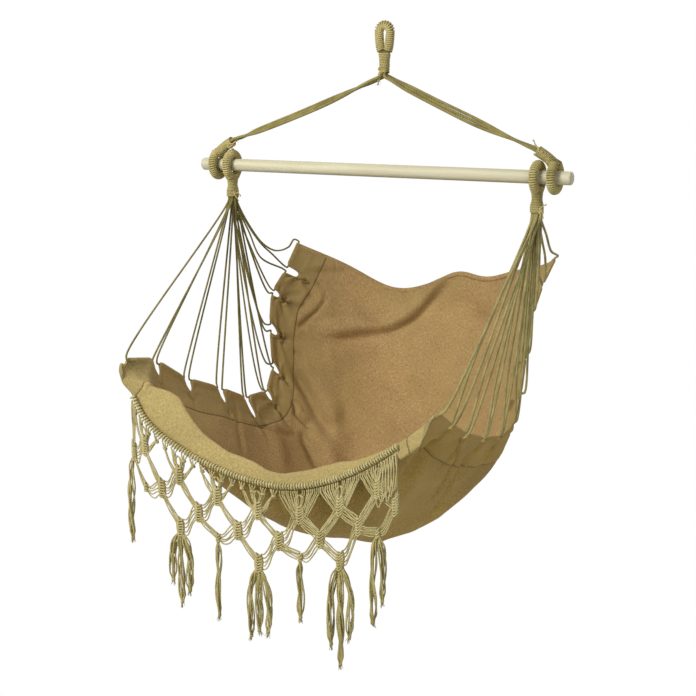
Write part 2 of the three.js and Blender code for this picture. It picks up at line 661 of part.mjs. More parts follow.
// The net lies in panels along the header. Every second panel ends in a third row leaf knot with three
// tassels, the others in a small knot where two strands meet above a single tassel.
const netPitch = (headerLength - 2 * strandWidth) / fringePanels;
const panelLine = (i) => strandWidth + i * netPitch;
const isLeafPanel = (i) => i % 2 === 1;
const leafRow = 3;
const singleRow = 2.6;
const lastKnotHeight = (i) => (isLeafPanel(i) ? knotHeight : knotHeight / 2);
const lastKnotDrop = (i) => rowDrop * (isLeafPanel(i) ? leafRow : singleRow);
const bandShares = [0.28, 0.5, 0.72]; // stops of the band between two panel lines
const bandGapShare = 0.15; // narrower stops of the band carry a strand
const strandShares = [0, 0.36, 0.64, 1]; // two cords of a strand with a gap between them

function netGeometry() {
  const flat = [];
  const faces = [];
  const put = (x, y) => flat.push([x, y]) - 1;
  const addFace = (...ids) => {
    const area = ids.reduce((sum, id, k) => {
      const [x, y] = flat[id];
      const [nextX, nextY] = flat[ids[(k + 1) % ids.length]];
      return sum + x * nextY - nextX * y;
    }, 0);
    faces.push(area < 0 ? ids : ids.reverse());
  };
  const between = (a, b) => [
    a, ...strandShares.slice(1, -1).map((share) => (
      put(mix(flat[a][0], flat[b][0], share), mix(flat[a][1], flat[b][1], share)))), b];
  const knot = (x, y, height) => {
    const [w, h, waist] = [knotWidth / 2, height / 2, height * waistShare];
    const [top, bottom] = [put(x, y - h), put(x, y + h)];
    const [leftHigh, leftLow] = [put(x - w, y - waist), put(x - w, y + waist)];
    const [rightHigh, rightLow] = [put(x + w, y - waist), put(x + w, y + waist)];
    const sides = {
      upLeft: between(leftHigh, top),
      upRight: between(top, rightHigh),
      downRight: between(bottom, rightLow),
      downLeft: between(leftLow, bottom),
    };
    const rim = [...sides.upLeft, ...sides.upRight.slice(1), ...[...sides.downRight].reverse(),
      ...[...sides.downLeft].reverse().slice(1)];
    const centre = put(x, y);
    rim.forEach((id, k) => addFace(centre, id, rim[(k + 1) % rim.length]));
    return sides;
  };
  const strand = (from, to) => {
    addFace(from[0], from[1], to[1], to[0]);
    addFace(from[2], from[3], to[3], to[2]);
  };

  // Band under the header, with the places where strands leave it
  const bandStops = [];
  for (let i = 0; i <= fringePanels; i++) {
    const x = panelLine(i);
    if (i > 0) bandStops.push(...bandShares.map((share) => x - netPitch * (1 - share)));
    bandStops.push(x - strandWidth, x, x + strandWidth);
  }
  const high = bandStops.map((x) => put(x, 0));
  const low = bandStops.map((x) => put(x, strandWidth));
  const leave = low.slice(1).map((id, k) => (
    flat[id][0] - flat[low[k]][0] < netPitch * bandGapShare ? between(low[k], id) : [low[k], id]));
  leave.forEach((ids, k) => addFace(high[k], high[k + 1], ...[...ids].reverse()));
  const stopsInPanel = 3 + bandShares.length;
  const leftOf = (i) => leave[stopsInPanel * i];
  const rightOf = (i) => leave[stopsInPanel * i + 1];

  const first = [];
  const second = [];
  for (let i = 0; i < fringePanels; i++) first.push(knot(panelLine(i + 0.5), rowDrop, knotHeight));
  for (let i = 0; i <= fringePanels; i++) second.push(knot(panelLine(i), 2 * rowDrop, knotHeight));
  strand(leftOf(0), second[0].upLeft);
  strand(rightOf(fringePanels), second[fringePanels].upRight);
  for (let i = 0; i < fringePanels; i++) {
    strand(rightOf(i), first[i].upLeft);
    strand(leftOf(i + 1), first[i].upRight);
    strand(first[i].downLeft, second[i].upRight);
    strand(first[i].downRight, second[i + 1].upLeft);
    const last = knot(panelLine(i + 0.5), lastKnotDrop(i), lastKnotHeight(i));
    strand(second[i].downRight, last.upLeft);
    strand(second[i + 1].downLeft, last.upRight);
  }

  // Front and back faces with a wall along every free edge
  const points = [-1, 1].flatMap((side) => flat.map(([x, y]) => netPlace(x, y, (side * fringeDepth) / 2)));
  const back = (id) => id + flat.length;
  const edges = new Set(faces.flatMap((ids) => ids.map((id, k) => `${id} ${ids[(k + 1) % ids.length]}`)));
  const triangles = [];
  for (const ids of faces) {
    for (let k = 1; k < ids.length - 1; k++) {
      triangles.push([ids[0], ids[k], ids[k + 1]], [back(ids[0]), back(ids[k + 1]), back(ids[k])]);
    }
    ids.forEach((id, k) => {
      const next = ids[(k + 1) % ids.length];
      if (edges.has(`${next} ${id}`)) return;
      triangles.push([id, back(id), back(next)], [id, back(next), next]);
    });
  }
  return geometryFrom(points, triangles);
}
addPiece('fringe_net', netGeometry(), cordMaterial);

// How a side tassel leaves the knot: [place aside in tassel widths, share of its length]
const tasselRouteShares = [[1, 0], [1.5, 0.12], [tasselSpread, 0.32], [tasselSpread, 1]];
// Tassels under the knots: [place along in panels, aside in tassel widths, share of the longest tassel]
const tasselShares = [
  [0, -0.5, 0.88], [1.5, -1, 0.53], [1.5, 0, 0.75], [1.5, 1, 0.61], [2.5, 0, 0.8], [3.5, -1, 0.73], [3.5, 0, 0.65],
  [3.5, 1, 0.65], [4.5, 0, 0.6], [5.5, -1, 0.81], [5.5, 0, 1], [5.5, 1, 0.7], [6.5, -0.5, 0.87], [6.5, 0.5, 0.64],
];
// The lowest knot is the second row's on a panel line, and the last one in the middle of a panel
const knotBottom = (place) => (Number.isInteger(place)
  ? rowDrop * 2 + knotHeight / 2
  : lastKnotDrop(Math.floor(place)) + lastKnotHeight(Math.floor(place)) / 2);
tasselShares.forEach(([place, aside, share], k) => {
  const knotPoint = netPlace(panelLine(place), knotBottom(place) + cordGap, 0);
  const width = 2 * tasselRadius + cordGap;
  const length = tasselLength * share;
  const route = tasselRouteShares.map(([wide, down]) => (
    knotPoint.clone().add(vec(aside * wide * width, 0, -down * length))));
  addPiece(`tassel_${k + 1}`, cordThrough(route, tasselRadius, tasselSides), cordMaterial);
});

export default chair;
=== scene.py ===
import math
from functools import partial

import bmesh
import bpy
import numpy as np
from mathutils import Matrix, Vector, noise


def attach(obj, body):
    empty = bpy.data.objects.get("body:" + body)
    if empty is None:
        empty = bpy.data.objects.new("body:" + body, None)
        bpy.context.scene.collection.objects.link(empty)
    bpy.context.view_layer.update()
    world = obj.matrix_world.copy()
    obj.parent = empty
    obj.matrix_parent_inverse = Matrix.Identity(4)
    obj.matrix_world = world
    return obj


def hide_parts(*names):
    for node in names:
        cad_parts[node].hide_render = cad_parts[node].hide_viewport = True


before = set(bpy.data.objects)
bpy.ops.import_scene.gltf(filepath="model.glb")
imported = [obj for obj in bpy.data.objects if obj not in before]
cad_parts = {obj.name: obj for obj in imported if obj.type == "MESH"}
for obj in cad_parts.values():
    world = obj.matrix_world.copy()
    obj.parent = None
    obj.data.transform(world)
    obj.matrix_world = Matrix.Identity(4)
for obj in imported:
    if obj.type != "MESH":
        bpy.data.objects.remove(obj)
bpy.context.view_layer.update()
rng = np.random.default_rng(7)

# Camera, where the photograph was taken from
camera = {"azimuth": 29, "elevation": 11.3, "distance": 3.2, "target": (-0.089, 0, -0.698), "lens": 73.7}


def addCamera():
    a, e = math.radians(camera["azimuth"]), math.radians(camera["elevation"])
    back = Vector((math.sin(a) * math.cos(e), -math.cos(a) * math.cos(e), math.sin(e)))
    data = bpy.data.cameras.new("camera")
    data.lens = camera["lens"]
    data.clip_end = 50
    obj = bpy.data.objects.new("camera", data)
    obj.location = Vector(camera["target"]) + back * camera["distance"]
    obj.rotation_euler = back.to_track_quat("Z", "Y").to_euler()
    bpy.context.scene.collection.objects.link(obj)
    bpy.context.scene.camera = obj


addCamera()
print("camera placed")


# Small sums on numpy points, all lengths in millimetres until a mesh is made
def mix(a, b, share):
    return a + (b - a) * share


def fade(share):
    t = np.clip(share, 0, 1)
    return t * t * (3 - 2 * t)


def bump(value, centre, width):
    return np.exp(-(((value - centre) / width) ** 2))


def vec(*xyz):
    return np.array(xyz, float)


def unit(v):
    return v / np.maximum(np.linalg.norm(v, axis=-1, keepdims=True), 1e-9)


def lengthsAlong(line):
    return np.concatenate([[0], np.cumsum(np.linalg.norm(np.diff(line, axis=0), axis=1))])


def evenly(line, step):
    along = lengthsAlong(line)
    at = np.linspace(0, along[-1], max(3, int(round(along[-1] / step)) + 1))
    return np.stack([np.interp(at, along, line[:, k]) for k in range(3)], axis=1)


# Cubic from a to b with the given slopes at its two ends
def hermite(a, b, leaving, arriving, t):
    return ((2 * t**3 - 3 * t**2 + 1) * a + (t**3 - 2 * t**2 + t) * leaving
            + (3 * t**2 - 2 * t**3) * b + (t**3 - t**2) * arriving)


# Points on a centripetal Catmull-Rom curve through the given ones
def smoothLine(points, step):
    p = np.array(points, float)
    p = np.concatenate([[2 * p[0] - p[1]], p, [2 * p[-1] - p[-2]]])
    found = []
    for i in range(1, len(p) - 2):
        d = [max(np.linalg.norm(p[i + k] - p[i + k - 1]), 1e-4) ** 0.5 for k in (0, 1, 2)]
        slopes = [((p[j] - p[j - 1]) / d[k] - (p[j + 1] - p[j - 1]) / (d[k] + d[k + 1])
                   + (p[j + 1] - p[j]) / d[k + 1]) * d[1] for j, k in ((i, 0), (i + 1, 1))]
        count = max(2, int(np.linalg.norm(p[i + 1] - p[i]) / step * 2))
        found.append(hermite(p[i], p[i + 1], *slopes, (np.arange(count) / count)[:, None]))
    found.append(p[-2:-1])
    return evenly(np.concatenate(found), step)


# A cord is a tube whose rings turn with the lay of its plies, so that the grooves run round it.
# Where the rings lie too far apart for that, the tube stays round and its UV alone draws the plies.
class CordMesh:
    def __init__(self):
        self.points, self.faces, self.uvs, self.count = [], [], [], 0

    def add(self, line, radius, plies=3, pitch=9.0, sides=6, groove=0.24, taper=0.0, phase=0.0):
        line = np.asarray(line, float)
        n = len(line)
        along = lengthsAlong(line)
        tangent = unit(np.gradient(line, axis=0))
        normal = np.empty_like(line)
        normal[0] = unit(np.cross(tangent[0], (0, 0, 1) if abs(tangent[0][2]) < 0.8 else (1, 0, 0)))
        for i in range(1, n):
            normal[i] = unit(normal[i - 1] - tangent[i] * np.dot(normal[i - 1], tangent[i]))
        binormal = np.cross(tangent, normal)
        shares = np.arange(sides) / sides
        turned = along / pitch
        laid = np.max(np.diff(turned)) < 0.13
        angle = 2 * math.pi * (shares[None, :] + (turned * laid + phase)[:, None])
        crest = np.abs(np.cos(math.pi * shares * plies)) if laid else np.full(sides, 0.8)
        slip = turned * plies * (not laid)
        thick = np.broadcast_to(np.asarray(radius, float), (n,)).copy()
        if taper:
            thick *= 1 - taper * np.clip(along / along[-1] * 4 - 3, 0, 1)
        r = thick[:, None] * (1 - groove * (1 - crest))[None, :]
        ring = (line[:, None] + normal[:, None] * (r * np.cos(angle))[..., None]
                + binormal[:, None] * (r * np.sin(angle))[..., None])
        base = self.count
        self.points.append(ring.reshape(-1, 3))
        self.count += n * sides
        for i in range(n - 1):
            low, high = base + i * sides, base + (i + 1) * sides
            for k in range(sides):
                after = (k + 1) % sides
                self.faces.append((low + k, low + after, high + after, high + k))
                u, v = shares[k] * plies, (shares[k] + 1 / sides) * plies
                a, b = slip[i], slip[i + 1]
                self.uvs += [(u - a, along[i]), (v - a, along[i]), (v - b, along[i + 1]), (u - b, along[i + 1])]
        self.faces.append(tuple(base + k for k in reversed(range(sides))))
        self.faces.append(tuple(base + (n - 1) * sides + k for k in range(sides)))
        self.uvs += [(0.3, 0)] * (2 * sides)

    def build(self, name, material, body, *nodes):
        mesh = bpy.data.meshes.new(name)
        mesh.from_pydata((np.concatenate(self.points) / 1000).tolist(), [], self.faces)
        layer = mesh.uv_layers.new(name="cordUV")
        uv = np.array(self.uvs, np.float32)
        uv[:, 1] /= 1000
        layer.data.foreach_set("uv", uv.ravel())
        return finishPiece(name, mesh, material, body, "cotton_cord", *nodes)


def meshOf(bm, name):
    mesh = bpy.data.meshes.new(name)
    bm.to_mesh(mesh)
    bm.free()
    return mesh


# Smooth object of a mesh, on the body that it moves with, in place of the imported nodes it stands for
def finishPiece(name, mesh, material, body, slot, *nodes):
    mesh.polygons.foreach_set("use_smooth", [True] * len(mesh.polygons))
    mesh.materials.append(material)
    mesh.update()
    obj = bpy.data.objects.new(name, mesh)
    bpy.context.scene.collection.objects.link(obj)
    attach(obj, body)
    if nodes:
        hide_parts(*nodes)
    return obj


# Materials
def linear(hexColor):
    channels = [int(hexColor[i:i + 2], 16) / 255 for i in (1, 3, 5)]
    return tuple(c / 12.92 if c <= 0.04045 else ((c + 0.055) / 1.055) ** 2.4 for c in channels) + (1.0,)


# Adds a node with its settings ('stops' are those of a colour ramp) and its inputs ('i0' is the
# first, the others go by name), each a value or the socket it is linked to, and gives its outputs
def addNode(tree, kind, settings=None, **inputs):
    node = tree.nodes.new("ShaderNode" + kind)
    for key, value in (settings or {}).items():
        if key == "stops":
            elements = node.color_ramp.elements
            elements[0].position, elements[0].color = value[0]
            elements[1].position, elements[1].color = value[-1]
            for position, color in value[1:-1]:
                elements.new(position).color = color
        else:
            setattr(node, key, value)
    for key, value in inputs.items():
        numbered = key[0] == "i" and key[1:].isdigit()
        socket = node.inputs[int(key[1:]) if numbered else key.replace("_", " ")]
        if isinstance(value, bpy.types.NodeSocket):
            tree.links.new(value, socket)
        else:
            socket.default_value = value
    return node.outputs


# Empties the nodes of a material or world and gives the function that adds to them
def nodesOf(owner):
    owner.use_nodes = True
    owner.node_tree.nodes.clear()
    return partial(addNode, owner.node_tree)


def stopsAt(places, hexColors):
    return [(place, linear(hexColor)) for place, hexColor in zip(places, hexColors)]


# Cotton cord: soft plied yarn, so light lies on the crests; the grooves between plies get painted shade
# and loose fibres blur every highlight
cordLook = {"groove": "#665830", "crest": "#BAAC70", "pale": "#CABE86", "olive": "#A4985E", "fibre": 1.3,
            "patch": 33.333}


def cordMaterial(name, **changes):
    look = dict(cordLook, **changes)
    material = bpy.data.materials.new(name)
    add = nodesOf(material)
    acrossPlies = add("SeparateXYZ", i0=add("UVMap", {"uv_map": "cordUV"})[0])[0]
    ply = add("Math", {"operation": "PINGPONG"}, i0=acrossPlies, i1=0.5)[0]
    crest = add("Math", {"operation": "MULTIPLY_ADD"}, i0=ply, i1=-2.0, i2=1.0)[0]
    place = add("TexCoord")["Object"]
    fibre = add("TexNoise", Vector=place, Scale=1000 / look["fibre"], Detail=2.0)[0]
    patch = add("TexNoise", Vector=place, Scale=1000 / look["patch"], Detail=3.0, Roughness=0.6)[0]
    stops = stopsAt((0.3, 0.5, 0.72), (look["olive"], look["crest"], look["pale"]))
    body = add("ValToRGB", {"stops": stops}, Fac=patch)[0]
    # Painted shade: in the grooves between plies the colour goes towards the groove colour
    depth = add("ValToRGB", {"stops": [(0.0, (1, 1, 1, 1)), (0.55, (0, 0, 0, 1))]}, Fac=crest)[0]
    dark = add("Math", {"operation": "MULTIPLY"}, i0=depth, i1=0.7)[0]
    color = add("Mix", {"data_type": "RGBA"}, Factor=dark, i6=body, i7=linear(look["groove"]))[2]
    height = add("Math", {"operation": "MULTIPLY_ADD"}, i0=fibre, i1=0.5, i2=crest)[0]
    bumped = add("Bump", Strength=0.6, Distance=0.0006, Height=height)[0]
    shader = add("BsdfPrincipled", Base_Color=color, Normal=bumped, Roughness=0.92, Sheen_Weight=0.06,
                 Sheen_Roughness=0.6, Specular_IOR_Level=0.2)
    add("OutputMaterial", Surface=shader[0])
    return material


cottonCord = cordMaterial("pliedCottonCord")
# Yarn of the tassels: the same cotton handled more and opened, so it is browner and its plies show
tasselYarn = cordMaterial("openedCottonYarn", groove="#70653A", crest="#B9AC70", olive="#A09458", pale="#CDC08A")
# Left fan: thin cord in the chair's own shade, so it is darkest and most olive against the light
shadedCord = cordMaterial("shadedCottonCord", groove="#453D1E", crest="#8A8048", olive="#70683A", pale="#9C9158")
# Fringe: the same cord with painted light, lighter to offset the shade under the rim, and with softer painted shade in
# its grooves
lighterFringeCord = cordMaterial("paintedLightFringeCord", groove="#7B7043", crest="#BFB27C", olive="#ABA06B", pale="#CEC291")
# Right fan: the same thin cord where more light falls on it
litCord = cordMaterial("thinCottonCord", groove="#4A4226", crest="#A69A60", olive="#8A8050", pale="#BDB178")
# Suspension cords: the same cord, darker and duller
ropeCotton = cordMaterial("darkerSuspensionCord", groove="#544A26", crest="#90844C", olive="#7A703E", pale="#A0945E")
# Inside of the wound eyes and the leaf knots: the same cord with painted shade, which shows as dark lines between turns
paintedShadeCord = cordMaterial("paintedShadeCottonCore", crest="#6F5E38", olive="#5E4F2E", pale="#7C6A42")
print("cord material made")

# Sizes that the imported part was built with, in millimetres
gap = 0.35
bar = {"length": 900, "radius": 14, "edge": 4, "middleX": -21, "height": -299}
ropes = {"radius": 3.5, "cadRadius": 2.7, "count": 3, "sag": 5, "turn": 4.2, "straight": 8.1,
         "spread": 5.6, "twist": 200}
eyes = {"core": 3.2, "wrap": 2.2, "clearance": 0.6, "shift": 0.25, "legAngle": 50, "taper": 12, "neck": 26,
        "lean": 58, "overlap": 9, "upperLeft": -430, "upperRight": 392, "harnessLeft": -392, "harnessRight": 354}
loop = {"slit": 9, "height": 32, "neck": 38}
wound = (eyes["core"] + gap + eyes["wrap"]) / math.cos(math.pi / 6) + eyes["wrap"]
ringRadius = bar["radius"] + eyes["clearance"] + wound
legSpacing = eyes["core"] + gap / 2


# Ring and legs of an eye as (along its neck, sideways)
def eyeRing():
    legAngle = math.radians(eyes["legAngle"])
    legEnd = wound + gap / 2
    run = (ringRadius * math.sin(legAngle) - legEnd) / math.cos(legAngle)
    reach = ringRadius * math.cos(legAngle) + run * math.sin(legAngle)
    angles = np.radians(np.arange(eyes["legAngle"], 360 - eyes["legAngle"] + 1, 10))
    arc = [(ringRadius * math.cos(a), -ringRadius * math.sin(a)) for a in angles]
    return [(reach, -legEnd)] + arc + [(reach, legEnd)]


legReach = eyeRing()[0][0]


# Centre line of an eye's ring, its neck's foot and the neck's direction
def eyeFrame(x, shift, lean):
    axis = vec(math.sin(lean), 0, math.cos(lean))
    up = math.copysign(1, axis[2])
    centre = vec(x, 0, bar["height"] + shift)
    ring = np.array([centre + vec(0, aside, up * reach) for reach, aside in eyeRing()])
    foot = centre + vec(axis[0] * eyes["taper"] / 2, 0, up * (legReach + eyes["taper"] / 2))
    foot = foot + axis * eyes["taper"] / 2
    return {"ring": ring, "foot": foot, "axis": axis, "end": foot + axis * (eyes["neck"] + gap), "x": x}


lean = math.radians(eyes["lean"])
eyeFrames = {
    "upperLeft": eyeFrame(eyes["upperLeft"], eyes["shift"], lean),
    "upperRight": eyeFrame(eyes["upperRight"], eyes["shift"], -lean),
    "harnessLeft": eyeFrame(eyes["harnessLeft"], -eyes["shift"], math.pi),
    "harnessRight": eyeFrame(eyes["harnessRight"], -eyes["shift"], math.pi),
}

# Suspension ropes, first of the cords
loopRadius = loop["slit"] / 2 + wound
loopLegEnd = -(loop["height"] + wound)
loopNeckStart = loopLegEnd - eyes["taper"]
loopNeckEnd = loopNeckStart - loop["neck"] / 2
neckBottom = loopNeckStart - loop["neck"]


def ropeRoute(sign, eye, rank):
    spacing = 2 * ropes["cadRadius"] + gap
    start = vec(sign * spacing / 2, rank * spacing, loopNeckEnd - 1.1)
    turn = vec(start[0], start[1], neckBottom - ropes["turn"])
    leave = turn + vec(sign * ropes["turn"], 0, -ropes["turn"])
    end = eye["end"] + vec(0, rank * spacing, 0)
    enter = end + eye["axis"] * (eyes["overlap"] + ropes["straight"])
    way = unit(enter - leave)
    above = unit(vec(0, 0, 1) - way * way[2])
    span = []
    for share in np.linspace(0, 1, 33):
        belly = 4 * share * (1 - share) * ropes["sag"]
        free = fade(share * 6) * fade((1 - share) * 6)
        turned = math.radians(ropes["twist"]) * (share - 0.5) + 0.35 * math.sin(7 * share + sign)
        cadAside = vec(0, rank * (spacing + belly), 0)
        twisted = ropes["spread"] * rank * (above * math.cos(turned) - vec(0, 1, 0) * math.sin(turned))
        wander = vec(0, 1.0, 0) * math.sin(11 * share + 2.4 * rank)
        span.append(mix(leave, enter, share) + vec(0, 0, -belly) + mix(cadAside, twisted + wander, free))
    return smoothLine([start, turn, *span, end], 1.7)


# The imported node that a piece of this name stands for: fanCord_left_1 for fan_cord_left_1
def nodeOf(name):
    return "".join("_" + letter.lower() if letter.isupper() else letter for letter in name)


# A cord along its route, told with its real length and thickness
def layCord(name, route, radius, material, body, **made):
    cord = CordMesh()
    cord.add(route, radius, **made)
    piece = cord.build(name, material, body, nodeOf(name))


for side, sign, eye in (("left", -1, eyeFrames["upperLeft"]), ("right", 1, eyeFrames["upperRight"])):
    for i in range(ropes["count"]):
        layCord(f"suspensionCord_{side}_{i + 1}", ropeRoute(sign, eye, i - 1), ropes["radius"], ropeCotton, "bridle",
                pitch=13, sides=9, groove=0.3, phase=0.3 * i)

# The seat's lines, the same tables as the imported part: share of the side, across, back, down
seat = {"span": 405, "reach": 405, "drop": 506, "middle": (-17, 32), "top": bar["height"] - 3,
        "lip": 15, "lipFlap": 28, "lipThrow": 7, "tabs": 10, "tab": 0.075, "firstTab": 0.012, "root": 0.037,
        "fold": 14, "wave": 30, "thickness": 1.3}
leftEdge = np.array([
    [0, -0.995, -1.03, 0.774], [0.09, -0.98, -0.812, 0.802], [0.2, -0.948, -0.54, 0.916],
    [0.3, -0.92, -0.262, 1.002], [0.4, -0.895, -0.038, 1.078], [0.5, -0.88, 0.165, 1.084],
    [0.58, -0.88, 0.25, 1.01], [0.665, -0.9, 0.275, 0.872], [0.735, -0.912, 0.287, 0.738],
    [0.8, -0.912, 0.312, 0.632], [0.895, -0.897, 0.425, 0.542], [1, -0.885, 0.57, 0.408]])
rightEdge = np.array([
    [0, 0.832, -1.062, 0.82], [0.09, 0.8, -0.838, 0.898], [0.2, 0.772, -0.588, 0.986],
    [0.3, 0.745, -0.312, 1.058], [0.4, 0.74, -0.1, 1.092], [0.5, 0.74, 0.1, 1.07],
    [0.58, 0.73, 0.2, 1], [0.665, 0.732, 0.248, 0.866], [0.735, 0.74, 0.275, 0.742],
    [0.8, 0.752, 0.305, 0.624], [0.895, 0.762, 0.4, 0.51], [1, 0.782, 0.538, 0.398]])
middleLine = np.array([
    [0, -1.012, 1.204], [0.1, -0.88, 1.372], [0.2, -0.655, 1.498], [0.3, -0.375, 1.566],
    [0.4, -0.075, 1.586], [0.5, 0.225, 1.542], [0.6, 0.462, 1.412], [0.7, 0.612, 1.212],
    [0.8, 0.712, 0.992], [0.9, 0.795, 0.778], [1, 0.84, 0.575]])
folds = [(0.36, 0.83, 0.26, 0.035, -16, 1), (0.62, 0.9, 0.1, 0.06, 0, -0.8), (0.2, 0.62, 0.05, 0.16, 20, 0.8),
         (0.12, 0.42, 0.13, 0.03, -30, 0.7), (0.86, 0.55, 0.12, 0.035, 35, 0.9), (0.8, 0.25, 0.12, 0.035, -25, 0.7)]
topWaves = [(0.32, 0.135, -1.05), (0.576, 0.09, 0.87), (0.816, 0.135, 0.5)]


def lineAt(table, share):
    i = int(np.clip(np.searchsorted(table[:, 0], share) - 1, 0, len(table) - 2))
    p1, p2 = table[i], table[i + 1]
    p0, p3 = table[max(i - 1, 0)], table[min(i + 2, len(table) - 1)]
    span = p2[0] - p1[0]
    t = (share - p1[0]) / span
    leaving = (p2 - p0) / (p2[0] - p0[0]) * span
    arriving = (p3 - p1) / (p3[0] - p1[0]) * span
    return hermite(p1, p2, leaving, arriving, t)[1:]


# Middle surface of the cloth before its folds, for a row of places across
def drape(across, along):
    across = np.atleast_1d(np.asarray(across, float))
    left, right, middle = (lineAt(t, along) for t in (leftEdge, rightEdge, middleLine))
    w, opened = np.abs(2 * across - 1), fade(along / 0.25)
    rounded = mix(0.56, 1, opened)
    sink = np.where(across >= 0.5, 1 - w ** mix(1.8, 2.2, opened),
                    1 - rounded * w ** mix(2, 2.2, opened) - (1 - rounded) * w**14)
    waves = sum(height * bump(across, at, width) for at, width, height in topWaves)
    half = across < 0.5
    x = mix(left[0], right[0], across)
    y = mix(np.where(half, left[1], right[1]), middle[0], sink)
    down = mix(np.where(half, left[2], right[2]), middle[1], sink)
    lift = seat["wave"] * waves * fade((along - 0.8) / 0.2) * (1 - w**6)
    return np.stack([seat["middle"][0] + seat["span"] * x, seat["middle"][1] + seat["reach"] * y,
                     seat["top"] - seat["drop"] * down + lift], axis=-1)


def hemRise(across):
    return (seat["lip"] + seat["lipFlap"] * bump(across, 0.13, 0.12)) * (1 - np.abs(2 * across - 1) ** 10)


def normalsAt(across, along):
    d = 0.01
    du = drape(across + d, along) - drape(across - d, along)
    dv = drape(across, min(along + d, 1)) - drape(across, max(along - d, 0))
    return unit(np.cross(du, dv))


# Cloth with the front hem raised and the folds laid in
def clothAt(across, along):
    across = np.atleast_1d(np.asarray(across, float))
    front = 1 - fade(along / 0.12)
    place = drape(across, along)
    place[:, 1] += seat["lipThrow"] * front
    place[:, 2] += hemRise(across) * front
    inner = fade((np.minimum(across, 1 - across) - seat["root"]) / seat["root"])
    height = np.zeros(len(across))
    for at, alongAt, wide, long, turn, size in folds:
        c, s = math.cos(math.radians(turn)), math.sin(math.radians(turn))
        du, dv = (across - at) * c + (along - alongAt) * s, (along - alongAt) * c - (across - at) * s
        height += size * bump(du, 0, wide) * bump(dv, 0, long)
    return place + normalsAt(across, along) * (seat["fold"] * height * inner * (1 - front))[:, None]


notch = (1 - seat["firstTab"] - seat["tabs"] * seat["tab"]) / (seat["tabs"] - 1)
tabs = [(seat["firstTab"] + i * (seat["tab"] + notch), seat["firstTab"] + i * (seat["tab"] + notch) + seat["tab"])
        for i in range(seat["tabs"])]


def tabTunnel(sign, tab):
    edge, root = (0, seat["root"]) if sign < 0 else (1, 1 - seat["root"])
    ends = [clothAt(edge, along)[0] for along in tab]
    run = unit(ends[1] - ends[0])
    out = sum(unit(end - clothAt(root, along)[0]) for end, along in zip(ends, tab))
    out = unit(out - run * np.dot(out, run))
    return {"ends": ends, "run": run, "out": out, "normal": np.cross(run, out) * -sign}


# Fan cords: from the neck through one tab and back up
fan = {"radius": {-1: 2.3, 1: 2.9}, "cadRadius": 1.8, "rows": (3, 5, 4, 5, 3), "rowGap": 0.525, "columnGap": 0.7,
       "exit": 5.6, "rise": 11.7, "aside": 4, "edgeSlant": 0.55, "slantSpan": 0.3, "tabSlant": 0.25,
       "bow": [(0.4, 7), (0.74, 14)]}
slackShares = [
    [(-0.972, 0.165, 0.294), (-0.96, 0.29, 0.388), (-0.94, 0.405, 0.43), (-0.915, 0.505, 0.42)],
    [(-0.96, 0.142, 0.298), (-0.945, 0.25, 0.386), (-0.928, 0.338, 0.44)],
    [(-0.952, 0.125, 0.318), (-0.935, 0.215, 0.442)]]
slackRoutes = [[vec(seat["middle"][0] + seat["span"] * x, seat["middle"][1] + seat["reach"] * y,
                    seat["top"] - seat["drop"] * down) for x, y, down in route] for route in slackShares]
# Distances between the cords in a harness eye's neck, sideways and fore and aft
fanSpacing = (2 * fan["cadRadius"] + fan["columnGap"], 2 * fan["cadRadius"] + fan["rowGap"])


def fanLegs(sign, eye):
    legs = []
    for tab in tabs:
        t = tabTunnel(sign, tab)
        for k, centre in enumerate(t["ends"]):
            direction = -1 if k == 0 else 1
            away = t["run"] * direction
            pull = eye["end"] - centre
            slant = np.dot(pull, t["run"]) / np.linalg.norm(pull)
            alongEdge = fade((abs(slant) - fan["edgeSlant"]) / fan["slantSpan"])
            overTab = fade((fan["tabSlant"] - slant * direction) / (2 * fan["tabSlant"]))
            way = centre + away * fan["exit"]
            free = (way + t["out"] * (fan["rise"] * max(overTab, alongEdge) + fan["cadRadius"])
                    + t["normal"] * direction * fan["aside"] * alongEdge)
            legs.append({"centre": centre, "mouth": centre + away * fan["exit"] / 2, "exit": way, "free": free,
                         "inward": -away})
    drop = eyes["overlap"] + 4
    order = sorted(legs, key=lambda leg: leg["free"][1] / (eye["end"][2] - drop - leg["free"][2]))
    for i, count in enumerate(fan["rows"]):
        row, order = sorted(order[:count], key=lambda leg: leg["free"][0]), order[count:]
        for k, leg in enumerate(row):
            x = eye["end"][0] + fanSpacing[0] * (k - (count - 1) / 2)
            y = fanSpacing[1] * (i - (len(fan["rows"]) - 1) / 2)
            leg["top"], leg["bend"] = vec(x, y, eye["end"][2]), vec(x, y, eye["end"][2] - drop)
    return legs


for side, sign, eye in (("left", -1, eyeFrames["harnessLeft"]), ("right", 1, eyeFrames["harnessRight"])):
    legs = fanLegs(sign, eye)
    for i in range(len(tabs)):
        a, b = legs[2 * i:2 * i + 2]

        def down(leg):
            number = len(legs) - 1 - [x is leg for x in legs].index(True)
            slack = slackRoutes[number] if sign < 0 and number < len(slackRoutes) else []
            if sign > 0:  # the right fan is looser: its cords bow apart over their tabs
                slack = [mix(leg["bend"], leg["free"], share) + leg["inward"] * aside for share, aside in fan["bow"]]
            return [leg["top"], leg["bend"], *slack, leg["free"], leg["exit"], leg["mouth"]]

        inside = [mix(a["centre"], b["centre"], share) for share in (0.15, 0.5, 0.85)]
        route = smoothLine([*down(a), *inside, *reversed(down(b))], 1.5)
        layCord(f"fanCord_{side}_{i + 1}", route, fan["radius"][sign], shadedCord if sign < 0 else litCord, "seat",
                groove=0.28, phase=0.21 * i)
print("fans made")


# Rope eyes and the hanging loop: a core wound with cord turn beside turn, and a wrapped neck
winding = {"pitch": 4.1, "radius": 2.3, "reach": 8.0, "core": 7.9, "fuller": 1.08, "wrap": 1.75, "wrapPitch": 3.4}


